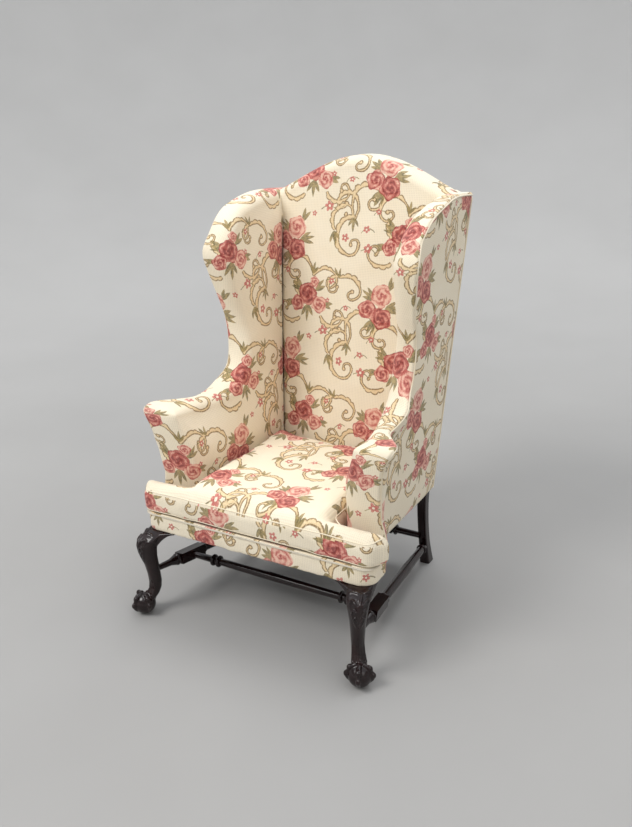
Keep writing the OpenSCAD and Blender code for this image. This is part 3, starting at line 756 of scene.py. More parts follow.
def front_leg(s):
    rings, sides = [], 36
    for z in np.linspace(0.2435, 0.046, 64):
        rings.append([leg_surface(2 * math.pi * k / sides, float(z)) for k in range(sides)])
    parts = [lofted("shaft", rings)]
    # the ball and its four jointed talons
    bpy.ops.mesh.primitive_uv_sphere_add(segments=40, ring_count=24, radius=BALL_R, location=FOOT)
    parts.append(bpy.context.object)
    toe = math.atan2(-0.062, 0.022)
    for turn, reach in ((0, 1.0), (math.radians(82), 0.95), (math.radians(-82), 0.95), (math.pi, 0.8)):
        line, size = [], []
        a = toe + turn
        for i in range(30):
            t = i / 29
            polar = math.radians(14 + (128 * reach - 14) * t)
            knuckle = math.exp(-((t - 0.30) / 0.085) ** 2) + 0.9 * math.exp(-((t - 0.62) / 0.08) ** 2)
            r = BALL_R + 0.0012 + 0.0026 * knuckle
            line.append(FOOT + Vector((math.sin(polar) * math.cos(a), math.sin(polar) * math.sin(a),
                                       math.cos(polar))) * r)
            claw = 1 - ease((t - 0.74) / 0.26)
            size.append((0.0052 + 0.0024 * knuckle) * (0.25 + 0.75 * float(claw)))
        parts.append(tube("talon", line, 1.0, 10, scale=size))
    # tendons run up from the talons into the ankle
    for angle in (-1.25, 0.0, 1.25):
        line, size = [], []
        for i in range(24):
            t = i / 23
            z = 0.052 + 0.075 * t
            line.append(leg_surface(angle * (1 - 0.35 * t), z, -0.0022 + 0.0006 * math.sin(math.pi * t)))
            size.append(0.0052 * (1 - 0.65 * t))
        parts.append(tube("tendon", line, 1.0, 8, scale=size))
    # leaves carved on the knee: a middle spine, curling side lobes and their veins
    def leaf(path, r0, r1):
        line = [leg_surface(a, z, lift) for a, z, lift in path]
        line = [Vector(p) for p in smooth_line([tuple(p) for p in line], 0.0025)]
        n = len(line)
        size = [(r0 + (r1 - r0) * i / (n - 1)) * (0.55 + 0.45 * math.sin(math.pi * min(1, 0.15 + i / n)))
                for i in range(n)]
        parts.append(tube("leaf", line, 1.0, 8, scale=size))
    leaf([(0, 0.238, 0.0), (0, 0.220, 0.0016), (0, 0.195, 0.0014), (0, 0.172, 0.001), (0, 0.156, 0.0)],
         0.0042, 0.0024)
    for side in (-1, 1):
        leaf([(0.06 * side, 0.170, 0), (0.22 * side, 0.184, 0.0016), (0.42 * side, 0.190, 0.0024),
              (0.52 * side, 0.181, 0.002)], 0.0030, 0.0020)
        leaf([(0.05 * side, 0.188, 0), (0.30 * side, 0.204, 0.0018), (0.58 * side, 0.209, 0.0028),
              (0.72 * side, 0.199, 0.0024)], 0.0036, 0.0022)
        leaf([(0.05 * side, 0.206, 0), (0.34 * side, 0.223, 0.0018), (0.72 * side, 0.229, 0.0030),
              (0.95 * side, 0.219, 0.0028)], 0.0040, 0.0024)
        leaf([(0.20 * side, 0.238, 0.0), (0.62 * side, 0.239, 0.0016), (1.05 * side, 0.236, 0.0022)],
             0.0036, 0.0020)
        leaf([(0.9 * side, 0.214, 0.0), (0.66 * side, 0.186, 0.0014), (0.42 * side, 0.166, 0.0012),
              (0.16 * side, 0.150, 0.0)], 0.0028, 0.0014)
    leg = join(hand_name("front_leg_carved_", s), parts)
    voxel(leg, 0.0015, 2, 0.5)
    co = coords(leg)
    co[:, 2] = np.maximum(co[:, 2], 0.0)
    put_coords(leg, co)
    # the square corner block above the knee, hidden by the rail cloth
    block = bevel_box("block", (0.282, -0.3065, 0.2400), (0.3290, -0.263, 0.2905), 0.003)
    leg = join(leg.name, [leg, block])
    if s < 0:
        flip_x(leg)
    return leg


def flip_x(obj):
    co = coords(obj)
    co[:, 0] *= -1
    put_coords(obj, co)
    obj.data.flip_normals()


def bevel_box(name, lo, hi, width):
    bm = bmesh.new()
    bmesh.ops.create_cube(bm, size=1.0)
    for v in bm.verts:
        v.co = Vector([lo[k] + (hi[k] - lo[k]) * (v.co[k] + 0.5) for k in range(3)])
    bmesh.ops.bevel(bm, geom=bm.edges[:], offset=width, segments=2, affect="EDGES")
    mesh = bpy.data.meshes.new(name)
    bm.to_mesh(mesh)
    bm.free()
    return link(bpy.data.objects.new(name, mesh))


def knee_bracket(s, toward_front):
    """A shaped ear of wood from the knee back under the rail, hollow along its lower edge."""
    n, m = 26, 16
    knee = np.array([0.3160, -0.3330]) if toward_front else np.array([0.3230, -0.3300])
    bend_by = np.array([0.286, -0.3200]) if toward_front else np.array([0.3330, -0.2900])
    end = np.array([0.2480, -0.3120]) if toward_front else np.array([0.3225, -0.2270])
    rows = []
    for i in range(n):
        t = i / (n - 1)
        middle = (1 - t) ** 2 * knee + 2 * t * (1 - t) * bend_by + t * t * end
        d = 2 * (1 - t) * (bend_by - knee) + 2 * t * (end - bend_by)
        d /= np.linalg.norm(d)
        across = np.array([d[1], -d[0]])
        high = 0.004 + 0.054 * (1 - t) ** 1.7
        top = RAIL_BOTTOM - 0.0006 - 0.0100 * (1 - t) ** 2.2
        half = 0.0085 + 0.0085 * (1 - t) ** 1.5
        row = []
        for k in range(m):
            sideways, upright = squared(k / m * 2 * math.pi, 0.50)
            q = middle + across * half * sideways
            row.append((q[0] * s, q[1], top - high / 2 + high / 2 * upright))
        rows.append(row)
    obj = lofted(hand_name(("front" if toward_front else "side") + "_bracket_shaped_", s), rows)
    outward_faces(obj)
    sub = obj.modifiers.new("round", "SUBSURF")
    sub.levels = sub.render_levels = 1
    return apply_modifiers(obj)


def rear_leg(s):
    """Square back leg that kicks backwards to a wider foot, with its post inside the back."""
    x_mid = SIDE_X - 0.031 + 0.014
    stations = []
    for i in range(30):
        z = 0.262 * i / 29
        t = z / 0.244
        kick = back_y(0.0385, 0.244) + 0.032 - back_y(0.0385, 0)
        mid = back_y(0.0385, z) + kick * max(0, 1 - t) ** 1.6
        deep = 0.0155 + 0.0035 * max(0, 1 - t / 0.35) ** 1.5 - 0.0012 * math.sin(math.pi * min(1, t))
        wide = 0.0140 + 0.0016 * max(0, 1 - t / 0.3) - 0.0008 * math.sin(math.pi * min(1, t))
        stations.append((x_mid, mid, z, wide, deep))
    for z in np.linspace(0.30, 1.02, 20):
        x = side_at(0.0172, z)
        stations.append((x, back_y(0.0385, z), z, 0.0135, 0.0155))
    sides = 16
    rows = []
    for x, y, z, wide, deep in stations:
        row = []
        for k in range(sides):
            across, along = squared(2 * math.pi * (k + 0.5) / sides, 0.30)
            row.append(((x + wide * across) * s, y + deep * along, z))
        rows.append(row)
    obj = lofted(hand_name("rear_leg_shaped_", s), rows, smooth=False)
    outward_faces(obj)
    return obj


def dust_cover():
    nx, ny = 40, 36
    half, y0 = 0.243, -FRONT_FACE + 0.010
    y1 = back_y(0.0227, RAIL_BOTTOM) - 0.004
    rows = []
    for i in range(nx + 1):
        x = -half + 2 * half * i / nx
        row = []
        for j in range(ny + 1):
            y = y0 + (y1 - y0) * j / ny
            e = (1 - (x / half) ** 2) * math.sin(math.pi * j / ny)
            ripple = 0.0006 * noise.noise(Vector((x * 20, y * 20, 1)))
            row.append((x, y, RAIL_BOTTOM + 0.0006 - 0.004 * e + ripple))
        rows.append(row)
    g = np.array(rows)
    obj = grid_object("dust_cover_cloth", g, g[:, :, :2])
    heads = []
    def tack(x, y):
        bm = bmesh.new()
        bmesh.ops.create_uvsphere(bm, u_segments=10, v_segments=6, radius=0.0032)
        for v in bm.verts:
            v.co = Vector((v.co.x + x, v.co.y + y, v.co.z * 0.35 + RAIL_BOTTOM - 0.0006))
        m = bpy.data.meshes.new("tack")
        bm.to_mesh(m)
        bm.free()
        heads.append(link(bpy.data.objects.new("tack", m)))
    for i in range(13):
        x = -half + 0.008 + (2 * half - 0.016) * i / 12
        tack(x, y0 + 0.006)
        tack(x, y1 - 0.006)
    for j in range(1, 13):
        y = y0 + (y1 - y0) * j / 13
        tack(half - 0.006, y)
        tack(-half + 0.006, y)
    tacks = join("dust_cover_tacks", heads)
    return obj, tacks, (2 * half, y1 - y0)


def frame_bar(name, centre_line, halves):
    """A sawn beech bar along a line; halves is its (sideways, upright) half size."""
    p = resample(np.array(centre_line, float), 0.02)
    rows = []
    for q in p:
        row = []
        for k in range(12):
            across, up = squared(2 * math.pi * (k + 0.5) / 12, 0.3)
            row.append((q[0] + halves[0] * across, q[1], q[2] + halves[1] * up))
        rows.append(row)
    return lofted(name, rows, smooth=False)


def arm_frame(s):
    """The arm's rail and post, set out to follow the flare of the arm."""
    rear = back_y(0.0225, 0.534)
    line = [(0.265, rear, 0.534), (0.266, 0.0, 0.534), (0.269, -0.09, 0.534), (0.282, -0.150, 0.534),
            (0.291, -0.200, 0.532)]
    rail = frame_bar(hand_name("arm_rail_shaped_", s), [(x * s, y, z) for x, y, z in line], (0.0110, 0.0120))
    low, high = sorted((0.272 * s, 0.292 * s))
    post = bevel_box(hand_name("arm_post_shaped_", s), (low, -0.222, 0.296), (high, -0.190, 0.520), 0.002)
    return rail, post


# ---------------------------------------------------------------- materials
class Maths:
    """Builds Math nodes from ordinary Python arithmetic."""

    def __init__(self, tree):
        self.tree = tree

    def node(self, op, *args):
        n = self.tree.nodes.new("ShaderNodeMath")
        n.operation = op
        for k, a in enumerate(args):
            if isinstance(a, Value):
                self.tree.links.new(a.socket, n.inputs[k])
            else:
                n.inputs[k].default_value = float(a)
        return Value(self, n.outputs[0])


class Value:
    def __init__(self, maths, socket):
        self.maths, self.socket = maths, socket

    def _op(self, name, other, swap=False):
        a, b = (other, self) if swap else (self, other)
        return self.maths.node(name, a, b)

    def __add__(self, o): return self._op("ADD", o)
    def __radd__(self, o): return self._op("ADD", o)
    def __sub__(self, o): return self._op("SUBTRACT", o)
    def __rsub__(self, o): return self._op("SUBTRACT", o, True)
    def __mul__(self, o): return self._op("MULTIPLY", o)
    def __rmul__(self, o): return self._op("MULTIPLY", o)
    def __truediv__(self, o): return self._op("DIVIDE", o)


def f_min(a, b): return a._op("MINIMUM", b)
def f_abs(a): return a.maths.node("ABSOLUTE", a)
def f_sin(a): return a.maths.node("SINE", a)
def f_sqrt(a): return a.maths.node("SQRT", a)
def f_atan2(a, b): return a.maths.node("ARCTAN2", a, b)
def f_fract(a): return a.maths.node("FRACT", a)
def f_floor(a): return a.maths.node("FLOOR", a)


def set_inputs(node, **values):
    """Sets a node's own sockets; an underscore in a name stands for a space."""
    for name, value in values.items():
        node.inputs[name.replace("_", " ")].default_value = value


def band(v, low, high):
    """0 at low and beyond, 1 at high and beyond, smooth between; low may be the greater."""
    n = v.maths.tree.nodes.new("ShaderNodeMapRange")
    n.interpolation_type = "SMOOTHSTEP"
    n.clamp = False
    set_inputs(n, From_Min=low, From_Max=high)
    v.maths.tree.links.new(v.socket, n.inputs["Value"])
    return Value(v.maths, n.outputs[0])


def new_material(name):
    m = bpy.data.materials.new(name)
    m.use_nodes = True
    t = m.node_tree
    t.nodes.clear()
    out = t.nodes.new("ShaderNodeOutputMaterial")
    bsdf = t.nodes.new("ShaderNodeBsdfPrincipled")
    t.links.new(bsdf.outputs[0], out.inputs[0])
    return m, t, bsdf


def add_noise(t, scale, detail=2.0, vector=None, rough=0.5, out="Fac"):
    n = t.nodes.new("ShaderNodeTexNoise")
    set_inputs(n, Scale=scale, Detail=detail, Roughness=rough)
    if vector is not None:
        t.links.new(vector, n.inputs["Vector"])
    return n.outputs[out]


def object_coords(t):
    return t.nodes.new("ShaderNodeTexCoord").outputs["Object"]


def mapped(t, vector, scale):
    m = t.nodes.new("ShaderNodeMapping")
    m.inputs["Scale"].default_value = scale
    t.links.new(vector, m.inputs["Vector"])
    return m.outputs[0]


def colour_ramp(t, fac, stops):
    r = t.nodes.new("ShaderNodeValToRGB")
    e = r.color_ramp.elements
    while len(e) < len(stops):
        e.new(0.5)
    for k, (pos, col) in enumerate(stops):
        e[k].position = pos
        e[k].color = (*col, 1)
    t.links.new(fac, r.inputs[0])
    return r.outputs[0]


def mix(t, fac, a, b):
    m = t.nodes.new("ShaderNodeMix")
    m.data_type = "RGBA"
    t.links.new(fac, m.inputs[0])
    for sock, v in ((m.inputs[6], a), (m.inputs[7], b)):
        if isinstance(v, tuple):
            sock.default_value = (*v, 1)
        else:
            t.links.new(v, sock)
    return m.outputs[2]


def bump(t, bsdf, height, distance, strength=1.0, after=None):
    b = t.nodes.new("ShaderNodeBump")
    set_inputs(b, Strength=strength, Distance=distance)
    t.links.new(height, b.inputs["Height"])
    if after is not None:
        t.links.new(after, b.inputs["Normal"])
    t.links.new(b.outputs[0], bsdf.inputs["Normal"])
    return b.outputs[0]


def polished_wood():
    m, t, bsdf = new_material("dark_mahogany")
    v = object_coords(t)
    grain = add_noise(t, 30, 5, mapped(t, v, (1.0, 1.0, 0.12)), 0.6)
    col = colour_ramp(t, grain, [(0.25, (0.005, 0.0018, 0.002)), (0.55, (0.011, 0.0036, 0.0036)),
                                 (0.8, (0.024, 0.007, 0.006))])
    dust = add_noise(t, 9, 3, v)
    t.links.new(col, bsdf.inputs["Base Color"])
    rough = t.nodes.new("ShaderNodeMapRange")
    set_inputs(rough, To_Min=0.14, To_Max=0.26)
    t.links.new(dust, rough.inputs["Value"])
    t.links.new(rough.outputs[0], bsdf.inputs["Roughness"])
    set_inputs(bsdf, Specular_IOR_Level=0.32, Coat_Weight=0.25, Coat_Roughness=0.08)
    first = bump(t, bsdf, add_noise(t, 260, 2, mapped(t, v, (1, 1, 0.1))), 0.0003, 0.35)
    bump(t, bsdf, add_noise(t, 38, 2, v), 0.0012, 0.35, first)
    return m


def beech_wood():
    m, t, bsdf = new_material("beech_frame")
    v = object_coords(t)
    grain = add_noise(t, 26, 6, mapped(t, v, (1, 1, 0.15)), 0.65)
    fleck = add_noise(t, 420, 2, mapped(t, v, (1, 1, 0.12)))
    col = colour_ramp(t, grain, [(0.3, (0.36, 0.21, 0.11)), (0.6, (0.55, 0.36, 0.20)),
                                 (0.8, (0.66, 0.47, 0.29))])
    col = mix(t, fleck, col, (0.42, 0.26, 0.14))
    t.links.new(col, bsdf.inputs["Base Color"])
    bsdf.inputs["Roughness"].default_value = 0.62
    bump(t, bsdf, fleck, 0.0004, 0.6)
    return m


def woven(name, thread, colour_a, colour_b, rough, depth, sheen=0.2):
    m, t, bsdf = new_material(name)
    v = object_coords(t)
    mt = Maths(t)
    s = t.nodes.new("ShaderNodeSeparateXYZ")
    t.links.new(v, s.inputs[0])
    x, y, z = (Value(mt, s.outputs[k]) for k in range(3))
    k = 2 * math.pi / thread
    weave = f_abs(f_sin((x + z * 0.5) * k)) * 0.5 + f_abs(f_sin((y + z * 0.87) * k)) * 0.5
    n = add_noise(t, 60, 4, v)
    col = colour_ramp(t, n, [(0.3, colour_a), (0.75, colour_b)])
    shade = mix(t, weave.socket, tuple(0.62 * c for c in colour_a), col)
    t.links.new(shade, bsdf.inputs["Base Color"])
    set_inputs(bsdf, Roughness=rough, Sheen_Weight=sheen, Sheen_Roughness=0.5)
    bump(t, bsdf, weave.socket, depth, 0.8)
    return m


def metal(name, colour, rough):
    m, t, bsdf = new_material(name)
    v = object_coords(t)
    n = add_noise(t, 120, 3, v)
    col = colour_ramp(t, n, [(0.3, tuple(0.7 * c for c in colour)), (0.7, colour)])
    t.links.new(col, bsdf.inputs["Base Color"])
    bsdf.inputs["Metallic"].default_value = 0.95
    r = t.nodes.new("ShaderNodeMapRange")
    set_inputs(r, To_Min=rough * 0.8, To_Max=rough * 1.3)
    t.links.new(n, r.inputs["Value"])
    t.links.new(r.outputs[0], bsdf.inputs["Roughness"])
    bump(t, bsdf, add_noise(t, 400, 2, v), 0.0002, 0.4)
    return m


def srgb(r, g, b):
    """A screen colour, 0 to 255, as the linear values the shader works in."""
    return tuple(c / 255 / 12.92 if c / 255 <= 0.04045 else ((c / 255 + 0.055) / 1.055) ** 2.4
                 for c in (r, g, b))


CREAM, CREAM_DEEP = srgb(238, 228, 207), srgb(231, 217, 190)
TAN, OLIVE_BROWN = srgb(220, 186, 126), srgb(122, 94, 54)
LEAF_DARK, LEAF_LIGHT = srgb(96, 90, 58), srgb(170, 148, 98)
ROSE_DARK, ROSE_MID, ROSE_LIGHT, ROSE_PALE = (srgb(134, 48, 50), srgb(184, 92, 86),
                                              srgb(212, 142, 128), srgb(232, 188, 168))
REPEAT_U, REPEAT_V = 0.29, 0.35
END_TAPER = 5
RIB, WEFT = 0.0050, 0.0046


class Motifs:
    """Printed motifs drawn with distance fields; every shape is negative inside."""

    def __init__(self, tree):
        self.t, self.m = tree, Maths(tree)

    def vec(self, op, a, b):
        n = self.t.nodes.new("ShaderNodeVectorMath")
        n.operation = op
        for k, v in enumerate((a, b)):
            if v is None:
                continue
            if isinstance(v, tuple):
                n.inputs[k].default_value = (*v, 0.0)
            else:
                self.t.links.new(v, n.inputs[k])
        return n.outputs["Value"] if op in ("LENGTH", "DOT_PRODUCT", "DISTANCE") else n.outputs["Vector"]

    def value(self, socket):
        return Value(self.m, socket)

    def polar(self, p, centre):
        q = self.vec("SUBTRACT", p, centre)
        return q, self.value(self.vec("LENGTH", q, None))

    def angle(self, q):
        across, up = (self.value(self.vec("DOT_PRODUCT", q, axis)) for axis in ((1.0, 0.0), (0.0, 1.0)))
        return f_atan2(up, across)

    def arc(self, p, centre, radius, middle, half, width, lobes=0, lobe=0.0):
        """A curved stroke with rounded ends, and scalloped lobes on its outer edge."""
        q, d = self.polar(p, centre)
        a = math.radians(middle)
        along = self.value(self.vec("DOT_PRODUCT", q, (math.cos(a), math.sin(a)))) / d
        near = math.cos(math.radians(half + END_TAPER))
        full = math.cos(math.radians(half))
        thick = band(along, near, full) * (width + 0.004) - 0.004
        away = d - radius
        s = f_abs(away) - thick
        if lobes:
            bumps = f_sqrt(f_abs(f_sin(self.angle(q) * (lobes / 2))))
            reach = math.cos(math.radians(half * 0.6))
            s = s - bumps * band(away, 0.0, 0.002) * lobe * band(along, near, reach)
        return s

    def dot(self, p, centre, radius):
        return self.value(self.vec("DISTANCE", p, centre)) - radius

    def leaf(self, p, centre, turn, length, width):
        a = math.radians(turn)
        q = self.vec("SUBTRACT", p, centre)
        u = self.value(self.vec("DOT_PRODUCT", q, (math.cos(a) / length, math.sin(a) / length)))
        v = f_abs(self.value(self.vec("DOT_PRODUCT", q, (-math.sin(a), math.cos(a)))))
        return v - (1 - u * u) * width, v

    def rose(self, p, centre, radius, phase, coarse, fine):
        q, d = self.polar(p, centre)
        a = self.angle(q)
        edge = f_sin(a * 5 + phase) * (0.07 * radius) + (coarse - 0.5) * (0.30 * radius) + radius
        shape = d - edge
        swirl = f_sin(d * (2 * math.pi / (0.46 * radius)) + a * 2 + (coarse * 7 + phase))
        petals = f_sin(a * 3 - d * (5.0 / radius) + (fine * 4 + phase * 2))
        tone = swirl * 0.20 + petals * 0.13 + (fine - 0.5) * 0.75 + 0.50
        tone = tone - band(d, 0.42 * radius, 0.0) * 0.34 + band(d, 0.55 * radius, radius) * 0.10
        return shape, tone

    def flower(self, p, centre, radius, phase):
        q, d = self.polar(p, centre)
        a = self.angle(q)
        shape = d - (f_abs(f_sin(a * 2.5 + phase)) * 0.5 + 0.5) * radius
        return shape, d


def wrapped(mo, u, v, cu, cv):
    """Cloth coordinates repeated on a half-drop grid round (cu, cv)."""
    a = (u - cu) * (1 / REPEAT_U) + 0.5
    column = f_floor(a)
    dx = (a - column - 0.5) * REPEAT_U
    b = (v - cv) * (1 / REPEAT_V) + column * 0.5 + 0.5
    dy = (f_fract(b) - 0.5) * REPEAT_V
    c = mo.t.nodes.new("ShaderNodeCombineXYZ")
    mo.t.links.new(dx.socket, c.inputs[0])
    mo.t.links.new(dy.socket, c.inputs[1])
    return c.outputs[0]


def nearer(a, b):
    """The smaller of two distances; the first may be missing."""
    return b if a is None else f_min(a, b)


def trail(x, y, heading, steps):
    """Arcs laid end to end from a point, in mm and degrees; a positive sweep turns left."""
    out = []
    for radius, sweep, width, lobes, lobe in steps:
        side = 1 if sweep > 0 else -1
        h = math.radians(heading)
        cx, cy = x - side * radius * math.sin(h), y + side * radius * math.cos(h)
        start = math.degrees(math.atan2(y - cy, x - cx))
        out.append((cx, cy, radius, start + sweep / 2, abs(sweep) / 2, width, lobes, lobe))
        end = math.radians(start + sweep)
        x, y = cx + radius * math.cos(end), cy + radius * math.sin(end)
        heading += sweep
    return out, (x, y)


def scroll(x, y, heading, steps):
    """A curling stroke that closes in a round eye."""
    arcs, (ex, ey) = trail(x, y, heading, steps)
    return arcs, (ex, ey, 5.4)


def spray(x, y, turn, spread, lengths, width=5.5):
    """A fan of leaves from one point."""
    out = []
    n = len(lengths)
    for k, length in enumerate(lengths):
        a = math.radians(turn + spread * ((k + 0.5) / n - 0.5) * 2)
        out.append((x + math.cos(a) * length, y + math.sin(a) * length, math.degrees(a), length, width))
    return out


# arcs: (radius, sweep, half width, lobes on the outside in a whole turn, lobe height)
SCROLLS_A = [scroll(-20, -62, 118, [(88, -38, 3.4, 0, 0), (47, -150, 4.4, 15, 6.0), (27, -120, 3.8, 0, 0),
                                    (13, -190, 3.0, 0, 0)]),
             scroll(-20, -62, 60, [(60, 50, 3.2, 0, 0), (32, 140, 3.8, 15, 5.0), (14, 190, 3.0, 0, 0)]),
             scroll(-52, 128, 20, [(50, -80, 3.6, 15, 5.5), (26, -120, 3.4, 0, 0), (12, -180, 2.8, 0, 0)]),
             scroll(-52, 128, 170, [(34, 95, 3.4, 13, 5.0), (14, 190, 2.8, 0, 0)]),
             scroll(88, -60, 250, [(44, 80, 3.8, 15, 5.5), (20, 130, 3.2, 0, 0), (11, 150, 2.6, 0, 0)]),
             scroll(-22, -54, 185, [(56, 140, 4.2, 15, 6.0), (30, 130, 3.8, 0, 0), (13, 190, 3.0, 0, 0)]),
             scroll(-84, -92, 120, [(46, -110, 3.8, 15, 5.5), (22, -130, 3.4, 0, 0), (11, -160, 2.8, 0, 0)])]
SCROLLS_B = [scroll(16, 58, 100, [(70, 36, 3.2, 0, 0), (40, 140, 4.2, 15, 5.8), (22, 120, 3.6, 0, 0),
                                  (11, 180, 2.8, 0, 0)]),
             scroll(16, 58, 50, [(54, -70, 3.6, 13, 5.0), (26, -130, 3.4, 0, 0), (12, -180, 2.8, 0, 0)]),
             scroll(-30, -70, 215, [(52, -70, 3.6, 15, 5.5), (26, -110, 3.4, 0, 0), (12, -180, 2.8, 0, 0)]),
             scroll(44, -60, 300, [(46, 90, 3.8, 15, 5.5), (22, 120, 3.2, 0, 0), (11, 160, 2.6, 0, 0)])]
ROSES_A = [(36, 44, 27, 0.4, 0.02), (78, 84, 32, 2.1, 0.24), (82, 22, 30, 4.0, -0.10)]
ROSES_B = [(-2, 2, 32, 1.3, -0.12), (38, -26, 25, 3.3, 0.18), (-36, -28, 23, 5.2, 0.04),
           (20, 38, 16, 0.9, 0.20)]
LEAVES_A = (spray(58, 70, 145, 32, (22, 24, 20)) + spray(92, 50, 10, 34, (24, 25, 21))
            + spray(60, 16, 240, 40, (20, 24, 19)) + spray(96, 100, 60, 26, (20, 20))
            + spray(-22, -58, 265, 52, (15, 19, 14), 4.2) + spray(-58, 126, 100, 40, (14, 16), 4.0)
            + spray(-86, -96, 285, 44, (17, 20, 15), 4.6))
LEAVES_B = (spray(-20, 14, 150, 34, (24, 22, 20)) + spray(22, 14, 35, 26, (20, 22))
            + spray(0, -26, 268, 44, (22, 26, 20)) + spray(-46, -22, 195, 26, (18, 18))
            + spray(50, -20, 345, 26, (17, 18)) + spray(14, 62, 80, 44, (13, 17, 13), 4.0))
FLOWERS_A = [(-104, -28, 15, 0.3), (-34, 44, 9, 1.2), (20, -88, 10, 2.0), (-96, 60, 8, 0.6),
             (-46, -112, 13, 1.7)]
FLOWERS_B = [(-104, -34, 14, 0.9), (78, 44, 9, 2.4), (-76, 66, 10, 0.2), (8, -120, 9, 1.0)]
STEMS_A = [(-104, -68, 40, 85, 46, 1.2), (-30, 26, 24, 110, 55, 1.1), (28, -112, 26, 100, 50, 1.1)]
STEMS_B = [(-104, -70, 36, 80, 45, 1.2), (70, 24, 24, 70, 50, 1.1), (-68, 46, 24, 110, 50, 1.1)]


